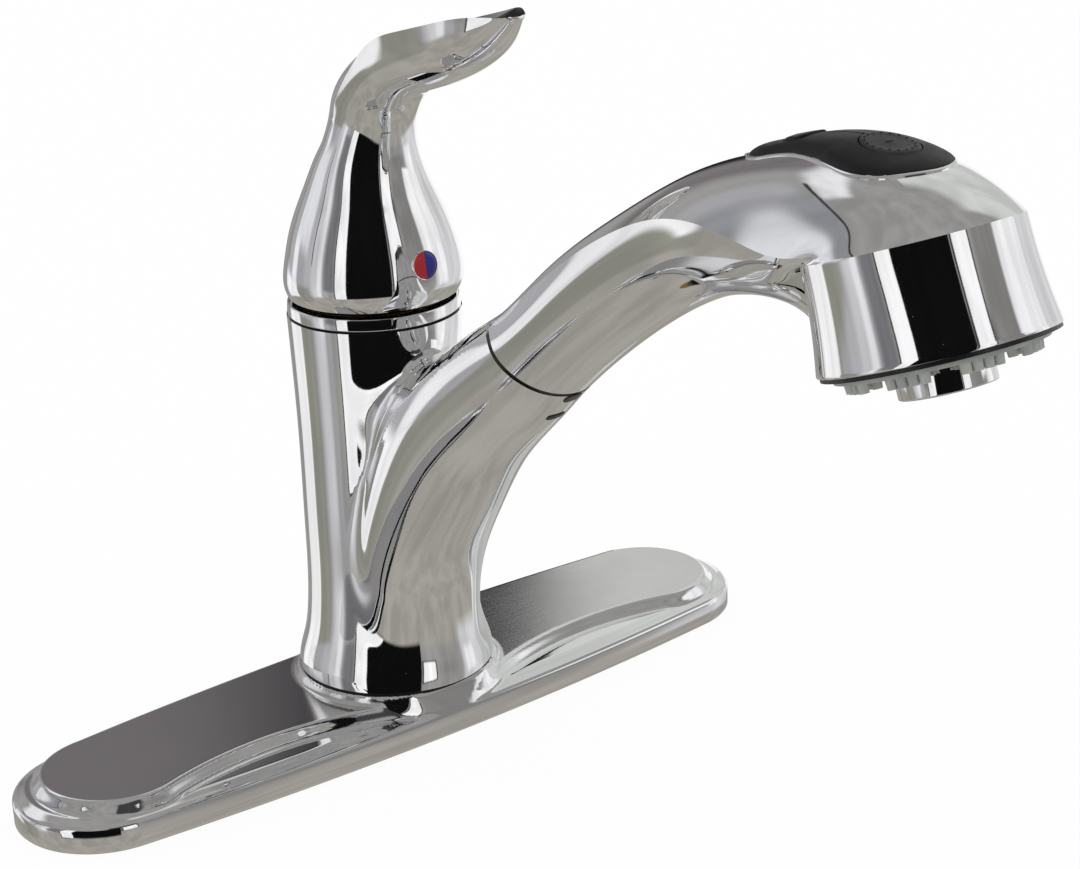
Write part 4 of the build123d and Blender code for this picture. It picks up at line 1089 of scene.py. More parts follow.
    def build(self) -> bpy.types.Object:
        """Make the outer skin, cut its three ends and close it with its inner walls.

        Returns:
            The piece.
        """
        points, edges, faces = self.rough_skin()
        points = self.pulled(points, edges)
        mesh = bpy.data.meshes.new("spout_body_skin")
        mesh.from_pydata((points * MM).tolist(), [], faces)
        for finish in (CHROME, BORE):
            mesh.materials.append(finish.material())
        solid = bmesh.new()
        solid.from_mesh(mesh)
        bmesh.ops.recalc_face_normals(solid, faces=solid.faces)
        mouth = np.array([0, -SEAM.s, SEAM.z])
        bottom, top = self.column[0][1], self.column[-1][1]
        up, anywhere = np.array([0, 0, 1.0]), 1e3
        ends = ((mouth, SEAM_NORMAL, anywhere), (up * top, up, self.top_reach),
                (up * bottom, -up, anywhere))
        for origin, normal, reach in ends:
            self.cut_end(solid, origin, normal, reach)
        loops = [[e for e in solid.edges if e.is_boundary and all(
            abs((np.array(v.co) / MM - origin) @ normal) < 0.01 for v in e.verts)]
            for origin, normal, _ in ends]
        self.close_mouth(solid, loops[0], mouth)
        inner = ((self.bore, top), (self.bore, self.bore_bottom), (self.seat, self.seat_top),
                 (self.seat, bottom))
        rings = self.inner_skin(solid, [circle(r, z, 128) for r, z in inner])
        bmesh.ops.bridge_loops(solid, edges=loops[1] + rings[0])
        bmesh.ops.bridge_loops(solid, edges=loops[2] + rings[-1])
        bmesh.ops.recalc_face_normals(solid, faces=solid.faces)
        solid.to_mesh(mesh)
        solid.free()
        piece = finish_piece(mesh, "spout_body_skin", 42.0)
        self.underside_mark("seam_key", *self.key_size)
        self.underside_mark("drain_slot", *self.slot_size)
        return settle(piece, Body.SPOUT, "chrome", "spout_body")

    def underside_mark(self, name: str, drop: float, long: float, wide: float) -> bpy.types.Object:
        """Small dark rounded oblong let into the arm's underside.

        Args:
            name: Name of the piece.
            drop: Its distance below the seam along the underside.
            long: Its length along the arm.
            wide: Its width across the arm.

        Returns:
            The piece, which rides on the spout.
        """
        above, below = self.arm.rows(np.array([self.seam_place, self.seam_place - 1]))
        along = np.array([0, above[S] - below[S], below[Z] - above[Z]])
        along /= np.linalg.norm(along)
        outward = np.array([0, along[2], -along[1]])
        middle = np.array([0, -above[S], above[Z]]) + drop * along
        turn = np.linspace(0, 2 * np.pi, 64, endpoint=False)
        across = np.sign(np.cos(turn)) * abs(np.cos(turn)) ** 0.6 * wide / 2
        down = np.sign(np.sin(turn)) * abs(np.sin(turn)) ** 0.6 * long / 2
        shell = Shell()
        for share, rise in ((1.0, -2.4), (1.0, 0.12), (0.92, 0.2), (0.5, 0.22)):
            bow = rise - (share * across) ** 2 / self.underside_bow
            shell.add([middle + share * across[:, None] * RIGHT + share * down[:, None] * along
                       + bow[:, None] * outward])
        piece = shell.piece(name, BLACK_PLASTIC, crisp=40.0)
        return settle(piece, Body.SPOUT, "black_plastic")

    @staticmethod
    def inner_skin(solid: bmesh.types.BMesh, rings: Sequence[Array]) -> list[list]:
        """Add a tube of rings to the mesh, with the bore's finish.

        Args:
            solid: The mesh that takes it.
            rings: The tube's rings.

        Returns:
            The edges of its first and last rings.
        """
        made = [[solid.verts.new(point * MM) for point in one] for one in rings]
        count = len(made[0])
        for first, second in zip(made, made[1:]):
            for k in range(count):
                after = (k + 1) % count
                face = solid.faces.new((first[k], first[after], second[after], second[k]))
                face.material_index = 1
                face.smooth = True
        return [[solid.edges.get((one[k], one[(k + 1) % count])) for k in range(count)]
                for one in (made[0], made[-1])]

    def close_mouth(self, solid: bmesh.types.BMesh, loop: list, mouth: Array) -> None:
        """Line the arm's mouth with a straight blind pocket.

        Args:
            solid: The skin.
            loop: Edges of the mouth.
            mouth: Point on the mouth's plane.
        """
        row = self.arm.rows(np.array([self.seam_place]))[0]
        flat = placed(self.arm.outline(row, self.wall)[::2], row)
        along = ahead(row[TILT])
        slide = -((flat - mouth) @ SEAM_NORMAL) / (along @ SEAM_NORMAL)
        rings = [flat + slide[:, None] * along, flat - self.mouth_depth * along]
        middle = flat.mean(axis=0)
        for share, drop in self.mouth_end:
            rings.append(middle + (flat - middle) * share - drop * along)
        joined = self.inner_skin(solid, rings)
        bmesh.ops.bridge_loops(solid, edges=loop + joined[0])
        bmesh.ops.contextual_create(solid, geom=joined[1], mat_nr=1)


# Wand


HEAD_TILT = 19.49
HEAD_RADIUS = 25.74
SHOULDER = np.array([0, -212.45, 189.65])
HEAD_DOWN = np.array([0, -math.sin(math.radians(HEAD_TILT)), -math.cos(math.radians(HEAD_TILT))])
HEAD_BACK = np.array([0, math.cos(math.radians(HEAD_TILT)), -math.sin(math.radians(HEAD_TILT))])
HEAD_REAR = SHOULDER + HEAD_RADIUS * HEAD_BACK


def on_head(points: Array) -> Array:
    """Move points about Z, with Z as the drop below the shoulder, onto the head's axis.

    Args:
        points: (x, y, drop) rows.

    Returns:
        (x, y, z) rows of the object.
    """
    return (SHOULDER + points[:, 0:1] * RIGHT + points[:, 1:2] * HEAD_BACK
            + points[:, 2:3] * HEAD_DOWN)


def drop_onto(tree: BVHTree, flat: Array) -> Array:
    """Heights of a surface above some plan places.

    Args:
        tree: Search tree of the surface.
        flat: (x, y) rows.

    Returns:
        The heights; a place off the surface takes its height from its neighbours.
    """
    heights = []
    for x, y in flat:
        hit = tree.ray_cast(Vector((x, y, 400.0)), Vector((0, 0, -1)))[0]
        heights.append(hit.z if hit else np.nan)
    heights = np.array(heights)
    known = ~np.isnan(heights)
    return np.interp(np.arange(len(heights)), np.flatnonzero(known), heights[known])


@dataclass
class Wand:
    """Chromed spray wand with its soft pad and buttons."""

    wall: float = 2.3
    seam_gap: float = 1.5
    seam_place: float = 1.0
    form_end: float = 8.0
    skirt: tuple[Pair, ...] = ((HEAD_RADIUS, 0.0), (25.9, 6.0), (26.3, 12.0), (26.95, 18.0),
                               (28.02, 25.15))
    lip_inset: float = 0.12
    pocket_radius: float = 25.6
    pocket_drop: float = 20.0
    throat: tuple[Pair, ...] = ((23.6, 20.0), (23.4, 0.5))
    spigot_seat: float = 10.5
    spigot_inset: float = 2.5
    web_half: float = 16.5
    web_corner: float = 186.0
    web_back: float = 27.0
    web_drop_start: float = 6.0
    web_drop: float = 24.2
    pad_half: tuple[Pair, ...] = ((0.0, 164.8), (5.2, 165.7), (7.2, 169.4), (7.5, 175.0), (7.9, 181.5),
                                  (9.6, 189.5), (12.1, 198.5), (13.3, 206.0), (11.9, 212.8),
                                  (7.8, 217.4), (0.0, 220.2))
    pad_axis: Pair = (171.0, 211.5)
    pad_thickness: float = 2.7
    pad_edge: float = 0.35
    pad_depths: tuple[float, ...] = (0.12, 0.35, 0.7, 1.15, 1.7, 2.4, 3.2, 4.2, 5.4, 6.8, 8.4, 10.4,
                                     12.4)
    pad_sink: float = 0.6
    edge_round: float = 1.7
    front_round: float = 3.6
    front_edge: Pair = (213.0, 219.5)
    rear_round: float = 2.2
    rear_edge: Pair = (-171.0, -165.5)
    rear_thinning: float = 0.42
    rear_span: Pair = (166.0, 193.0)
    front_thinning: float = 0.62
    front_span: Pair = (196.0, 219.0)
    lip: tuple[Pair, ...] = ((-0.35, -0.5), (-0.3, 0.3), (-0.05, 0.52), (0.35, 0.5), (0.62, 0.3),
                             (0.95, -0.5))
    tab_length: float = 1.6
    tab_half: float = 4.5
    tab_span: Pair = (-167.0, -164.4)
    button_radius: float = 6.5
    button_gap: float = 0.3
    button_rise: float = 0.35
    button_profile: tuple[Pair, ...] = ((6.5, 1.7), (6.5, 0.5), (6.35, 0.2), (6.15, 0.05), (5.9, 0.0),
                                        (5.6, 0.0), (5.1, 0.04), (4.6, 0.16), (4.0, 0.25),
                                        (2.0, 0.27), (0.5, 0.27))
    dots: int = 18
    dot_circle: float = 5.35
    dot_size: Pair = (0.36, 0.36)
    dash_size: Pair = (1.4, 0.42)
    mark_profile: tuple[Pair, ...] = ((1.0, -0.3), (1.0, 0.03), (0.8, 0.1), (0.4, 0.13))
    bar_place: float = 179.0
    bar_half: Pair = (2.4, 1.0)
    bar_round: float = 2.4
    bar_base: float = 1.35
    bar_rise: float = 0.55
    bar_profile: tuple[Pair, ...] = ((0.0, 0.6), (0.12, 0.28), (0.35, 0.08), (0.8, 0.0), (1.4, 0.0),
                                     (2.0, 0.0))
    aerator: tuple[Triple, ...] = ((11.48, 26.4, 0.1), (11.48, 34.47, 0.55), (8.4, 34.47, 0.3),
                                   (8.4, 33.6, 0.2), (9.3, 33.3, 0.1), (9.3, 26.4, 0.1))
    form: CastForm = CastForm((
        BEHIND_SEAM, SEAM, PAST_SEAM,
        Section(134.0, 154.0, 27, 29.5, (9.0, 28.2), (16.8, 23.8), (17.8, 15.5), (12.4, 4.8)),
        Section(153.5, 163.8, 17, 31.5, (9.8, 29.4), (19.0, 22.6), (18.6, 14.5), (12.6, 4.4)),
        Section(168.0, 167.6, 4, 34.5, (11.0, 31.2), (21.3, 20.5), (19.6, 13.5), (12.8, 4.0)),
        Section(178.5, 170.0, -14, 38.5, (13.2, 34.0), (23.4, 17.5), (20.8, 12.0), (13.0, 3.8)),
        Section(185.0, 173.6, -40, 44.5, (16.6, 38.4), (25.0, 17.5), (22.0, 12.0), (13.4, 3.9)),
        ring(-HEAD_REAR[1], HEAD_REAR[2], HEAD_TILT - 90, HEAD_RADIUS, 82.0),
    ), edge_angle=82.0)

    @staticmethod
    def spokes(last: Array) -> Array:
        """Unit vectors from the shoulder's middle to each point of the form's last ring."""
        return (last - SHOULDER) / np.linalg.norm(last - SHOULDER, axis=1)[:, None]

    def skirt_rings(self, inset: float, drops: Sequence[float], last: Array) -> list[Array]:
        """Rings of the flared skirt, in step with the form's last ring.

        Args:
            inset: How much smaller they are drawn.
            drops: Their distances below the shoulder.
            last: The form's last ring.

        Returns:
            The rings.
        """
        curve = Curve([d for _, d in self.skirt], [r for r, _ in self.skirt])
        spokes = self.spokes(last)
        return [SHOULDER + HEAD_DOWN * drop + spokes * (curve([drop])[0, 0] - inset) for drop in drops]

    def straight_pocket(self, origin: Array) -> list[Array]:
        """Two rings of the straight pocket behind the seam, from its depth to the seam.

        Args:
            origin: Point on the seam's plane.

        Returns:
            The rings.
        """
        row = self.form.rows(np.array([self.seam_place]))[0]
        flat = placed(self.form.outline(row, self.spigot_inset), row)
        along = ahead(row[TILT])
        slide = ((origin - flat) @ SEAM_NORMAL) / (along @ SEAM_NORMAL)
        return [flat + self.spigot_seat * along, flat + slide[:, None] * along]

    def build_shell(self) -> bpy.types.Object:
        """Mesh the shell with its inner skin as one closed form.

        Returns:
            The piece.
        """
        outer = self.form.grid(0.6, self.form_end)
        origin = np.array([0, -SEAM.s, SEAM.z]) + SEAM_NORMAL * self.seam_gap
        skin = from_plane(outer, origin, SEAM_NORMAL, np.linspace(0, 1, 260))
        inner = self.form.grid(1.9, self.form_end, self.wall, 90)
        rim = self.skirt[-1][1]
        shell = Shell().add(skin)
        shell.add(self.skirt_rings(0.0, np.linspace(0.5, rim - 0.25, 34), outer[-1]))
        shell.add(self.skirt_rings(self.lip_inset, [rim], outer[-1]))
        spokes = self.spokes(outer[-1])
        for radius, drop in ((self.pocket_radius, rim), (self.pocket_radius, self.pocket_drop),
                             *self.throat):
            shell.add([SHOULDER + HEAD_DOWN * drop + spokes * radius], 1)
        shell.add(inner[::-1], 1)
        shell.add(self.straight_pocket(origin), 1)
        points, faces, numbers = shell.faces(looped=True)
        numbers[-len(spokes):] = [0] * len(spokes)
        piece = new_piece("wand_shell_skin", points, faces, (CHROME, BORE), numbers, 28.0)
        return settle(piece, Body.WAND, "chrome", "wand_shell")

    def neck_web(self) -> bpy.types.Object:
        """Smooth hollow between the neck's underside and the back of the skirt.

        Returns:
            The piece.
        """
        rings = list(self.form.grid(3.0, self.form_end, 0.0, 240))
        rings += self.skirt_rings(0.0, np.linspace(0.5, 25.0, 30), rings[-1])
        tree = Shell().add(rings).tree()

        def under(x: float, s: float) -> Array:
            """Place on the neck's underside."""
            return np.array(tree.ray_cast(Vector((x, -s, 90.0)), Vector((0, 0, 1)))[0])

        def behind(x: float, drop: float) -> Array:
            """Place on the back of the skirt."""
            start = on_head(np.array([[x, 60.0, drop]]))[0]
            return np.array(tree.ray_cast(Vector(start), Vector(-HEAD_BACK))[0])

        shell, steps = Shell(), np.linspace(0, 1, 40)
        for x in self.web_half * np.sin(np.linspace(-np.pi / 2, np.pi / 2, 61)) * 0.999:
            size = math.sqrt(1 - (x / self.web_half) ** 2)
            s = self.web_corner - self.web_back * size
            drop = self.web_drop_start + (self.web_drop - self.web_drop_start) * size
            start, end = under(x, s), behind(x, drop)
            along = under(x, s + 0.5) - under(x, s - 0.5)
            upward = behind(x, drop - 0.5) - behind(x, drop + 0.5)
            sides = np.array([[along[1], -upward[1]], [along[2], -upward[2]]])
            corner = start + along * np.linalg.solve(sides, (end - start)[1:])[0]
            curve = [(1 - w) ** 2 * start + 2 * w * (1 - w) * corner + w * w * end for w in steps]
            inside = corner + np.array([0, -2.0, 4.0])
            shell.add([np.array(curve + [end - HEAD_BACK, inside, start + [0, 0, 1.0]])])
        return settle(shell.piece("neck_web", CHROME, crisp=50.0), Body.WAND, "chrome")

    def cover(self, thickness: float) -> BVHTree:
        """Outer form of the wand, grown by a thickness.

        Args:
            thickness: How much it is grown.

        Returns:
            Its search tree.
        """
        last = self.form.grid(self.form_end - 0.1, self.form_end, 0.0, 2)[-1]
        rings = list(self.form.grid(3.0, self.form_end, -thickness, 150))
        return Shell().add(rings + self.skirt_rings(-thickness, (1.0, 3.0, 6.0), last)).tree()

    def pad_outline(self, grow: float, count: int = 200) -> Array:
        """Closed plan outline of the pad.

        Args:
            grow: How much larger it is drawn all round.
            count: How many points to return.

        Returns:
            (x, y) rows.
        """
        right = np.array(self.pad_half)
        loop = np.vstack([right, right[-2:0:-1] * [-1, 1]])
        tripled = np.vstack([loop, loop, loop, loop[:1]])
        knots = centripetal(tripled)
        start, end = knots[len(loop)], knots[2 * len(loop)]
        points = Curve(knots, tripled)(np.linspace(start, end, count, endpoint=False))
        tangent = np.roll(points, -1, axis=0) - np.roll(points, 1, axis=0)
        normal = np.stack([tangent[:, 1], -tangent[:, 0]], axis=1)
        normal /= np.linalg.norm(normal, axis=1)[:, None]
        outward = np.sign((normal * (points - points.mean(axis=0))).sum())
        return (points + outward * grow * normal) * [1, -1]

    def build_pad(self) -> None:
        """Make the soft pad, its bright lip, the round button and the raised bar."""
        skin, crown = self.cover(0.0), self.cover(self.pad_thickness)
        rim = self.pad_outline(0.0)
        forward = -rim[:, 1]
        rear, front = self.pad_half[0][1], self.pad_half[-1][1]
        low, high = self.pad_axis
        along = low + (forward - rear) / (front - rear) * (high - low)
        axis = np.column_stack([np.zeros(len(rim)), -along])
        base = drop_onto(skin, rim * [0.995, 1])
        shell = Shell().add([lifted(rim, base - self.pad_sink), lifted(rim, base + self.pad_edge)])
        length = np.maximum(np.linalg.norm(rim - axis, axis=1)[:, None], 1e-6)
        taper = self.edge_round + self.front_round * smooth(forward, *self.front_edge)
        taper = taper + self.rear_round * smooth(-forward, *self.rear_edge)
        for depth in self.pad_depths:
            flat = rim + (axis - rim) * np.minimum(depth / length, 0.97)
            rise = np.sqrt(1 - (1 - np.minimum(depth / taper, 1)) ** 2)
            edge = drop_onto(skin, flat) + self.pad_edge
            shell.add([lifted(flat, edge + (self.pad_top(skin, crown, flat) - edge) * rise)])
        pad = shell.piece("soft_pad_skin", SOFT_BLACK, crisp=50.0)
        cut(pad, self.button_cutter())
        cut(pad, self.bar_cutter())
        settle(pad, Body.WAND, "soft_black", "soft_pad")
        self.bezel(skin)
        self.round_button()
        self.bar(skin, crown)

    def front_thin(self, y: Array | float) -> Array:
        """Share of the pad's thickness that is missing towards its front end."""
        return self.front_thinning * smooth(-y, *self.front_span)

    def pad_top(self, skin: BVHTree, crown: BVHTree, flat: Array) -> Array:
        """Heights of the pad's top, which thins out towards both of its ends.

        Args:
            skin: The wand's own form.
            crown: The form grown by the pad's thickness.
            flat: (x, y) rows.

        Returns:
            The heights.
        """
        low, high = drop_onto(skin, flat), drop_onto(crown, flat)
        rear = self.rear_thinning * (1 - smooth(-flat[:, 1], *self.rear_span))
        return low + (high - low) * (1 - rear - self.front_thin(flat[:, 1]))

    def button_face(self, crown: BVHTree, x: float, y: float) -> Array:
        """Point of the round button's face above a place of the head's own plane.

        Args:
            crown: The form that the face lies on.
            x: Place across the head.
            y: Place behind the head's axis.

        Returns:
            The point.
        """
        start = on_head(np.array([[x, y, -40.0]]))[0]
        hit = np.array(crown.ray_cast(Vector(start), Vector(HEAD_DOWN))[0])
        return hit + HEAD_DOWN * self.pad_thickness * self.front_thin(hit[1])

    def bezel(self, skin: BVHTree) -> bpy.types.Object:
        """Thin bright lip round the pad, with a short tab at its rear.

        Args:
            skin: The wand's own form.

        Returns:
            The piece.
        """
        shell = Shell()
        for grow, rise in self.lip:
            rim = self.pad_outline(grow)
            if grow > 0:
                tab = smooth(rim[:, 1], *self.tab_span) * (abs(rim[:, 0]) < self.tab_half)
                rim[:, 1] += self.tab_length * tab
            shell.add([lifted(rim, drop_onto(skin, rim) + rise)])
        piece = shell.piece("pad_bezel", CHROME, crisp=50.0, looped=True)
        return settle(piece, Body.WAND, "chrome")

    def button_cutter(self) -> bpy.types.Object:
        """Bar that cuts the round button's hole in the pad."""
        radius = self.button_radius + self.button_gap
        shell = Shell().add([on_head(circle(radius, -drop, 96)) for drop in (40.0, 8.0)])
        return shell.piece("button_cutter", SOFT_BLACK)

    def bar_outline(self, grow: float) -> Array:
        """Rounded oblong of the rear bar.

        Args:
            grow: How much larger it is drawn all round.

        Returns:
            (x, y) rows.
        """
        turn = np.linspace(0, 2 * np.pi, 64, endpoint=False)
        arc = np.stack([np.cos(turn), np.sin(turn)], axis=1)
        side = np.sign(arc) * (abs(arc) > 1e-9)
        return side * self.bar_half + (self.bar_round + grow) * arc - [0, self.bar_place]

    def bar_cutter(self) -> bpy.types.Object:
        """Block that cuts the rear bar's hole in the pad."""
        outline = self.bar_outline(self.button_gap)
        shell = Shell().add([lifted(outline, height) for height in (240.0, 190.0)])
        return shell.piece("bar_cutter", SOFT_BLACK)

    def bar(self, skin: BVHTree, crown: BVHTree) -> bpy.types.Object:
        """Raised rear bar with rounded edges.

        Args:
            skin: The wand's own form.
            crown: The form grown by the pad's thickness.

        Returns:
            The piece.
        """
        shell = Shell()
        outline = self.bar_outline(0.0)
        middle = outline.mean(axis=0)
        for share in (0.1, 0.4, 0.7, 1.0):
            flat = middle + (outline - middle) * share
            shell.add([lifted(flat, drop_onto(skin, flat) + self.bar_base)])
        tops = [(self.bar_outline(-inset), sink) for inset, sink in self.bar_profile]
        tops.append((middle + (tops[-1][0] - middle) * 0.4, 0.0))
        for flat, sink in tops:
            shell.add([lifted(flat, self.pad_top(skin, crown, flat) + self.bar_rise - sink)])
        piece = shell.piece("stream_bar", SOFT_BLACK, crisp=50.0)
        return settle(piece, Body.STREAM_KEY, "soft_black", "stream_button")

    def round_button(self) -> None:
        """Make the round button with a ring of small dots and a dash in its middle."""
        crown = self.cover(self.pad_thickness + self.button_rise)
        turn = np.linspace(0, 2 * np.pi, 96, endpoint=False)
        shell = Shell()
        for radius, sink in self.button_profile:
            face = [self.button_face(crown, radius * math.cos(a), radius * math.sin(a)) for a in turn]
            shell.add([np.array(face) + HEAD_DOWN * sink])
        piece = shell.piece("spray_button_cap", BUTTON_BLACK, crisp=50.0)
        settle(piece, Body.SPRAY_KEY, "soft_black", "spray_button")
        self.button_marks(crown)

    def button_marks(self, crown: BVHTree) -> None:
        """Make the small raised dots near the button's rim and the dash in its middle, in a darker
        black than the button. The dots' darker black is painted shade: it stands in for the shade
        inside small recessed dots.

        Args:
            crown: The form that the button's face lies on.
        """
        points, faces = [], []
        turn = np.linspace(0, 2 * np.pi, 20, endpoint=False)[:, None]
        spots = [(self.dot_circle * math.cos(a), self.dot_circle * math.sin(a), self.dot_size, 0.02)
                 for a in np.linspace(0, 2 * math.pi, self.dots, endpoint=False)]
        spots.append((0.0, 0.0, self.dash_size, self.button_profile[-1][1]))
        for x, y, (wide, deep), sink in spots:
            hit = self.button_face(crown, x, y)
            shell = Shell()
            for share, rise in self.mark_profile:
                shell.add([hit + HEAD_DOWN * (sink - rise) + share * wide * np.cos(turn) * RIGHT
                           + share * deep * np.sin(turn) * HEAD_BACK])
            made, joined, _ = shell.faces()
            faces += [tuple(i + len(points) for i in face) for face in joined]
            points += made.tolist()
        # Painted shade: the marks take the darker black moulding finish, so the dots read as shaded
        # recessed holes.
        piece = new_piece("spray_button_marks_painted_shade", np.array(points), faces, (BLACK_PLASTIC,), (), 60.0)
        settle(piece, Body.SPRAY_KEY, "soft_black")

    def build_aerator(self) -> bpy.types.Object:
        """Bright ring round the middle jet, with rounded lips."""
        shell = turned(rounded(self.aerator), on_head, 160)
        piece = shell.piece("aerator_ring_skin", CHROME, crisp=40.0, looped=True)
        return settle(piece, Body.WAND, "chrome", "aerator_housing")

    def build(self) -> None:
        """Make every piece of the wand."""
        self.build_shell()
        self.neck_web()
        self.build_pad()
        self.build_aerator()


# Handle


@dataclass
class Handle:
    """Hollow dome that runs up into a thin dished lever."""

    wall: float = 1.9
    rim_wall: float = 0.8
    edge_angle: float = 97.0
    inner_end: float = 4.0
    inner_rings: int = 60
    tip_lean: float = 24.0
    tip_bulge: float = 1.6
    button_radius: float = 3.9
    button_lean: float = 9.0
    button_front: float = 26.75
    button_height: float = 145.8
    button_profile: tuple[Pair, ...] = ((1.0, -1.6), (1.0, 0.12), (0.96, 0.26), (0.85, 0.34),
                                        (0.5, 0.4), (0.1, 0.42))
    rim_profile: tuple[Pair, ...] = ((0.02, -1.5), (0.02, 0.1), (0.1, 0.3), (0.22, 0.32),
                                     (0.34, 0.12), (0.34, -1.5))
    grip: tuple[Triple, ...] = ((7.5, 139.0, 0.3), (7.5, 160.0, 0.3), (5.9, 160.0, 0.3),
                                (5.9, 139.0, 0.3))
    domes: tuple[Triple, ...] = (
        (133.4, 25.2, 0.3), (138.0, 26.5, 0.9), (145.3, 25.6, 1.2), (152.4, 23.8, 1.1),
        (159.6, 21.1, 1.0), (166.7, 18.0, 1.0), (174.0, 15.2, 1.8), (181.0, 13.2, 4.0))
    lever: tuple[Section, ...] = (
        Section(19.6, 188.0, 72, 22.5, (8.6, 20.5), (12.9, 14.0), (12.3, 8.5), (7.6, 2.2)),
        Section(26.0, 194.0, 48, 18.0, (8.0, 17.4), (13.0, 14.0), (12.8, 8.5), (8.2, 2.4)),
        Section(35.5, 197.6, 30, 16.0, (8.6, 16.4), (14.4, 16.4), (13.4, 8.8), (8.6, 2.4)),
        Section(46.5, 201.3, 24, 14.0, (9.0, 14.8), (14.8, 16.2), (13.6, 8.8), (8.8, 2.4)),
        Section(57.0, 206.2, 22, 11.0, (8.4, 12.0), (13.6, 14.0), (12.4, 7.6), (8.0, 2.1)),
        Section(66.0, 212.5, 20, 8.0, (6.4, 8.8), (10.0, 9.8), (8.8, 5.2), (5.6, 1.4)),
        Section(73.2, 220.2, 18, 1.5, (2.6, 1.7), (3.9, 1.9), (3.2, 1.0), (2.0, 0.3)),
    )

    def build(self) -> None:
        """Make the handle as one closed form, open below, with its boss and its button."""
        rings = tuple(ring(c + r, z, 90.0, r, self.edge_angle) for z, r, c in self.domes)
        form = CastForm(rings + self.lever, edge_angle=self.edge_angle)
        skin = form.grid(0.0, len(form.sections) - 1, count=380)
        thin, inner = (form.grid(0.0, self.inner_end, wall, self.inner_rings)
                       for wall in (self.rim_wall, self.wall))
        share = np.minimum(np.linspace(0, self.inner_end, self.inner_rings), 1)[:, None, None]
        shell = Shell().add((thin + (inner - thin) * share)[::-1], 1).add(skin)
        tip, middle = skin[-1], skin[-1].mean(axis=0)
        bulge = ahead(self.tip_lean) * self.tip_bulge
        for turn in np.linspace(0.15, 1.5, 8):
            shell.add([middle + (tip - middle) * math.cos(turn) + bulge * math.sin(turn)])
        settle(shell.piece("handle_skin", CHROME, BORE, crisp=30.0), Body.LEVER, "chrome", "handle")
        boss = turned(rounded(self.grip, 3), None, 48).piece("handle_boss", BORE, looped=True)
        settle(boss, Body.LEVER, "chrome")
        self.index_button()

    def on_front(self, flat: Array, rise: float) -> Array:
        """Move (x, u) places onto the button's leaning face.

        Args:
            flat: (x, u) rows.
            rise: How far they are raised outwards.

        Returns:
            (x, y, z) rows.
        """
        lean = math.radians(self.button_lean)
        up = np.array([0, math.sin(lean), math.cos(lean)])
        out = np.array([0, -math.cos(lean), math.sin(lean)])
        middle = np.array([0, -self.button_front, self.button_height])
        return middle + flat[:, 0:1] * RIGHT + flat[:, 1:2] * up + rise * out

    def index_button(self) -> None:
        """Make the round hot and cold button in two halves, with a thin bright rim."""
        turn = np.linspace(-np.pi / 2, np.pi / 2, 49)
        for side, name, finish in ((-1, "index_red", RED), (1, "index_blue", BLUE)):
            half = np.column_stack([side * np.cos(turn), np.sin(turn)]) * self.button_radius
            shell = Shell()
            for share, rise in self.button_profile:
                shell.add([self.on_front(half * share, rise)])
            settle(shell.piece(name + "_face", finish, crisp=40.0), Body.LEVER, name, name)
        shell = Shell()
        for gap, rise in self.rim_profile:
            shell.add([self.on_front(circle(self.button_radius + gap, 0.0, 96), rise)])
        settle(shell.piece("index_rim", CHROME, crisp=40.0, looped=True), Body.LEVER, "chrome")


@dataclass
class Trim:
    """Bright ring between the column and the handle."""

    bore: float = 21.85
    bottom: float = 128.0
    top: float = 131.56
    low_radius: float = 25.6
    high_radius: float = 25.34

    def build(self) -> bpy.types.Object:
        """Turn the ring with softly rounded edges."""
        profile = rounded(((self.bore, self.bottom, 0.1), (self.low_radius, self.bottom, 0.35),
                           (self.high_radius, self.top, 0.45), (self.bore, self.top, 0.1)))
        piece = turned(profile).piece("trim_ring_skin", CHROME, crisp=40.0, looped=True)
        return settle(piece, Body.BASE, "chrome", "trim_ring")


# Studio


WHITE = (1.0, 1.0, 1.0, 1.0)


@dataclass(frozen=True)
class Card:
    """A panel of the studio, seen only as a reflection.

    Its azimuth is counted from the camera's side, to the right, and both spans are in degrees.
    """

    colour: Colour
    azimuth: Pair
    elevation: Pair
    soft: float = 1.0
    soft_up: float = 1.5


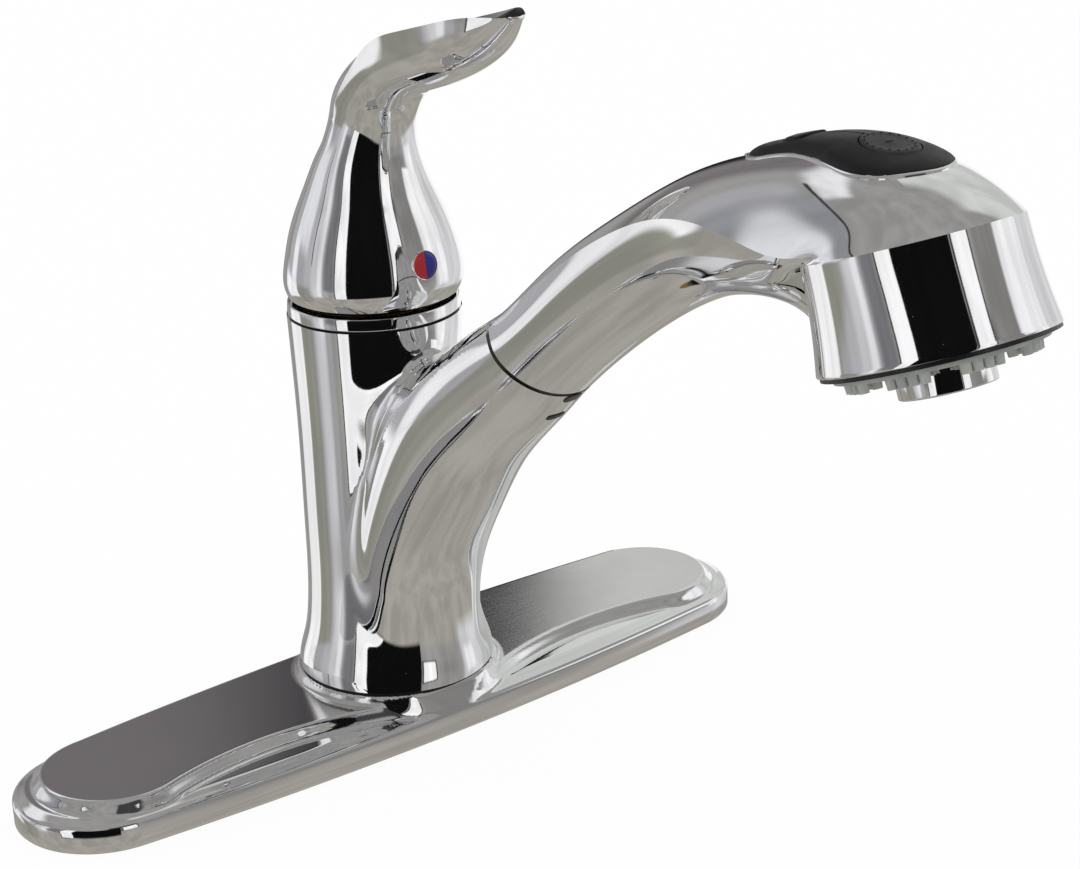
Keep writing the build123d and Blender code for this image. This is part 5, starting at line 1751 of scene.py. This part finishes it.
@dataclass
class Studio:
    """Camera, floor, white surroundings and the reflected panels."""

    azimuth: float = -38.099
    elevation: float = 20.234
    roll: float = -2.371
    lens: float = 80.80
    sensor: float = 36.0
    clip: Pair = (0.02, 20.0)
    place: Triple = (-384.1, -566.22, 337.1)
    floor_size: float = 6.0
    floor_level: float = -0.0002
    floor_tints: tuple[Colour, Colour] = ((0.96, 0.96, 0.96, 1), (0.98, 0.98, 0.98, 1))
    floor_glow: float = 0.95
    even_light: Colour = (0.92, 0.92, 0.93, 1)
    cloud_stretch: Triple = (2.4, 2.4, 0.9)
    cloud_scale: float = 2.2
    cloud_shades: Pair = (0.84, 1.06)
    ground: Colour = rgb(166, 163, 155)
    cards: tuple[Card, ...] = (
        Card(rgb(156, 155, 153), (-200, 200), (-22, 91), 1.0, 2.0),
        Card(rgb(176, 175, 178), (-136, -58), (-22, 28), 3.0, 3.0),
        Card(rgb(208, 208, 210), (-84, -70), (-22, 24), 5.0, 4.0),
        Card(rgb(150, 150, 140), (-118, -88), (-34, -10), 3.0, 2.5),
        Card(rgb(252, 252, 252), (-140, -111), (-25, -9), 1.5, 1.5),
        Card(rgb(246, 246, 247), (-124, -112), (-10, 13), 1.5, 3.0),
        Card(rgb(226, 227, 230), (-122, -94), (3, 19), 3.0, 4.0),
        Card(rgb(150, 152, 156), (-126, -84), (21, 31), 4.0, 3.0),
        Card(rgb(236, 236, 237), (-164, -120), (33, 48), 3.0, 3.0),
        Card(rgb(60, 60, 62), (-134, -82), (31.2, 32.6), 1.5, 0.4),
        Card(rgb(60, 60, 62), (-84.6, -83.2), (2, 32), 0.4, 1.5),
        Card(rgb(122, 118, 120), (-200, -150), (6, 36), 8.0, 4.0),
        Card(rgb(40, 40, 43), (-200, -172.5), (-12, 38), 3.0, 5.0),
        Card(rgb(138, 136, 134), (50, 88), (-10, 30), 3.0, 4.0),
        Card(rgb(216, 216, 217), (88, 152), (-26, 30), 4.0, 3.0),
        Card(rgb(210, 212, 208), (118, 200), (6, 62), 4.0, 5.0),
        Card(rgb(252, 252, 252), (93, 110), (-18, 27), 2.0, 3.0),
        Card(rgb(252, 252, 252), (76, 95), (5, 26), 2.0, 2.0),
        Card(rgb(255, 255, 255), (146, 200), (-22, 8), 3.0, 2.0),
        Card(rgb(122, 122, 125), (-64, -50), (-10, 34), 3.0, 3.0),
        Card(rgb(228, 228, 229), (-74, -67), (-20, 30), 2.0, 3.0),
        Card(rgb(66, 66, 68), (10, 50), (30, 52), 3.0, 4.0),
        Card(rgb(58, 57, 57), (-49, -33), (-25, 43), 0.3, 1.0),
        Card(rgb(255, 255, 255), (-47.6, -33), (-24, 42), 0.4, 1.0),
        Card(rgb(58, 56, 54), (26, 46.5), (-13, 34), 0.3, 1.0),
        Card(rgb(255, 255, 255), (28, 45), (-12, 33), 0.5, 1.0),
        Card(rgb(14, 14, 15), (-33, 25), (-24, 37), 0.6, 1.4),
    )

    def shoot(self) -> None:
        """Place the camera as the photograph was taken."""
        a, e, r = (math.radians(v) for v in (self.azimuth, self.elevation, self.roll))
        back = Vector((math.sin(a) * math.cos(e), -math.cos(a) * math.cos(e), math.sin(e)))
        right = Vector((math.cos(a), math.sin(a), 0))
        up = back.cross(right)
        turned_right = math.cos(r) * right + math.sin(r) * up
        turned_up = -math.sin(r) * right + math.cos(r) * up
        data = bpy.data.cameras.new("view")
        data.lens = self.lens
        data.sensor_width = self.sensor
        data.sensor_fit = "HORIZONTAL"
        data.clip_start, data.clip_end = self.clip
        camera = linked("view", data)
        turn = Matrix((turned_right, turned_up, back)).transposed().to_4x4()
        camera.matrix_world = Matrix.Translation(Vector(self.place) * MM) @ turn
        bpy.context.scene.camera = camera
        bpy.context.scene.view_settings.view_transform = "Standard"

    def lay_floor(self) -> None:
        """Lay the pale floor, which mirrors don't see, because the panels stand in for it."""
        half, level = self.floor_size / 2, self.floor_level
        mesh = bpy.data.meshes.new("floor")
        mesh.from_pydata([(-half, -half, level), (half, -half, level), (half, half, level),
                          (-half, half, level)], [], [(0, 1, 2, 3)])
        floor = linked("floor", mesh)
        material = bpy.data.materials.new("pale_floor")
        material.use_nodes = True
        nodes = Nodes(material.node_tree)
        where = nodes.add("TexCoord").outputs["Object"]
        tint = nodes.blend(nodes.noise(where, 3.0), *self.floor_tints)
        matt = nodes.add("BsdfDiffuse", i_Color=tint).outputs[0]
        glow = nodes.add("Emission", i_Color=WHITE, i_Strength=1.0).outputs[0]
        mixed = nodes.add("MixShader", i_0=self.floor_glow, i_1=matt, i_2=glow).outputs[0]
        path = nodes.add("LightPath").outputs
        seen = nodes.add("MixShader", i_0=path["Is Camera Ray"], i_1=matt, i_2=mixed).outputs[0]
        clear = nodes.add("BsdfTransparent").outputs[0]
        final = nodes.add("MixShader", i_0=path["Is Glossy Ray"], i_1=seen, i_2=clear)
        nodes.add("OutputMaterial", i_Surface=final.outputs[0])
        mesh.materials.append(material)

    def light(self) -> None:
        """White surroundings, an even light for matt surfaces and the panels for polished ones."""
        world = bpy.data.worlds.new("studio")
        world.use_nodes = True
        bpy.context.scene.world = world
        nodes = Nodes(world.node_tree)
        ray = nodes.add("TexCoord").outputs["Generated"]
        a = math.radians(self.azimuth)
        towards, aside = (
            nodes.add("VectorMath", operation="DOT_PRODUCT", i_0=ray, i_1=axis).outputs["Value"]
            for axis in ((math.sin(a), -math.cos(a), 0), (math.cos(a), math.sin(a), 0)))
        rise = nodes.add("SeparateXYZ", i_0=ray).outputs["Z"]
        turn = nodes.math("DEGREES", nodes.math("ARCTAN2", aside, towards))
        climb = nodes.math("DEGREES", nodes.math("ARCSINE", rise))
        upright = nodes.add("Mapping", i_Vector=ray, i_Scale=self.cloud_stretch).outputs[0]
        cloud = nodes.noise(upright, self.cloud_scale, 3.0)
        colour = self.ground
        for card in self.cards:
            share = self.window(nodes, turn, card.azimuth, card.soft)
            high = self.window(nodes, climb, card.elevation, card.soft_up)
            colour = nodes.blend(nodes.math("MULTIPLY", share, high), colour, card.colour)
        shade = nodes.step(cloud, 0.3, 0.7, *self.cloud_shades)
        grey = nodes.add("CombineColor", i_0=shade, i_1=shade, i_2=shade).outputs[0]
        panels = nodes.add("Mix", data_type="RGBA", blend_type="MULTIPLY", i_0=1.0, i_6=colour,
                           i_7=grey).outputs[2]
        path = nodes.add("LightPath").outputs
        shiny = nodes.math("MAXIMUM", path["Is Glossy Ray"], path["Is Transmission Ray"])
        colour = nodes.blend(shiny, self.even_light, panels)
        colour = nodes.blend(path["Is Camera Ray"], colour, WHITE)
        background = nodes.add("Background", i_0=colour, i_1=1.0)
        nodes.add("OutputWorld", i_0=background.outputs[0])

    @staticmethod
    def window(nodes: Nodes, value: bpy.types.NodeSocket, span: Pair,
               soft: float) -> bpy.types.NodeSocket:
        """Mask that is 1 inside a span of degrees.

        Args:
            nodes: The tree that takes the mask's nodes.
            value: The angle.
            span: First and last degree of the span.
            soft: Half the width of its soft edges.

        Returns:
            The mask.
        """
        enter = nodes.step(value, span[0] - soft, span[0] + soft)
        leave = nodes.step(value, span[1] - soft, span[1] + soft, 1.0, 0.0)
        return nodes.math("MULTIPLY", enter, leave)


def main() -> None:
    """Build the scene: the studio first, then each part of the faucet."""
    logging.basicConfig(level=logging.INFO, format="%(name)s: %(message)s")
    studio = Studio()
    studio.shoot()
    dress_nodes()
    for part in (DeckPlate(), SpoutBody(), Wand(), Handle(), Trim()):
        part.build()
        LOG.info("%s is built", type(part).__name__)
    studio.lay_floor()
    studio.light()


if __name__ == "__main__":
    main()
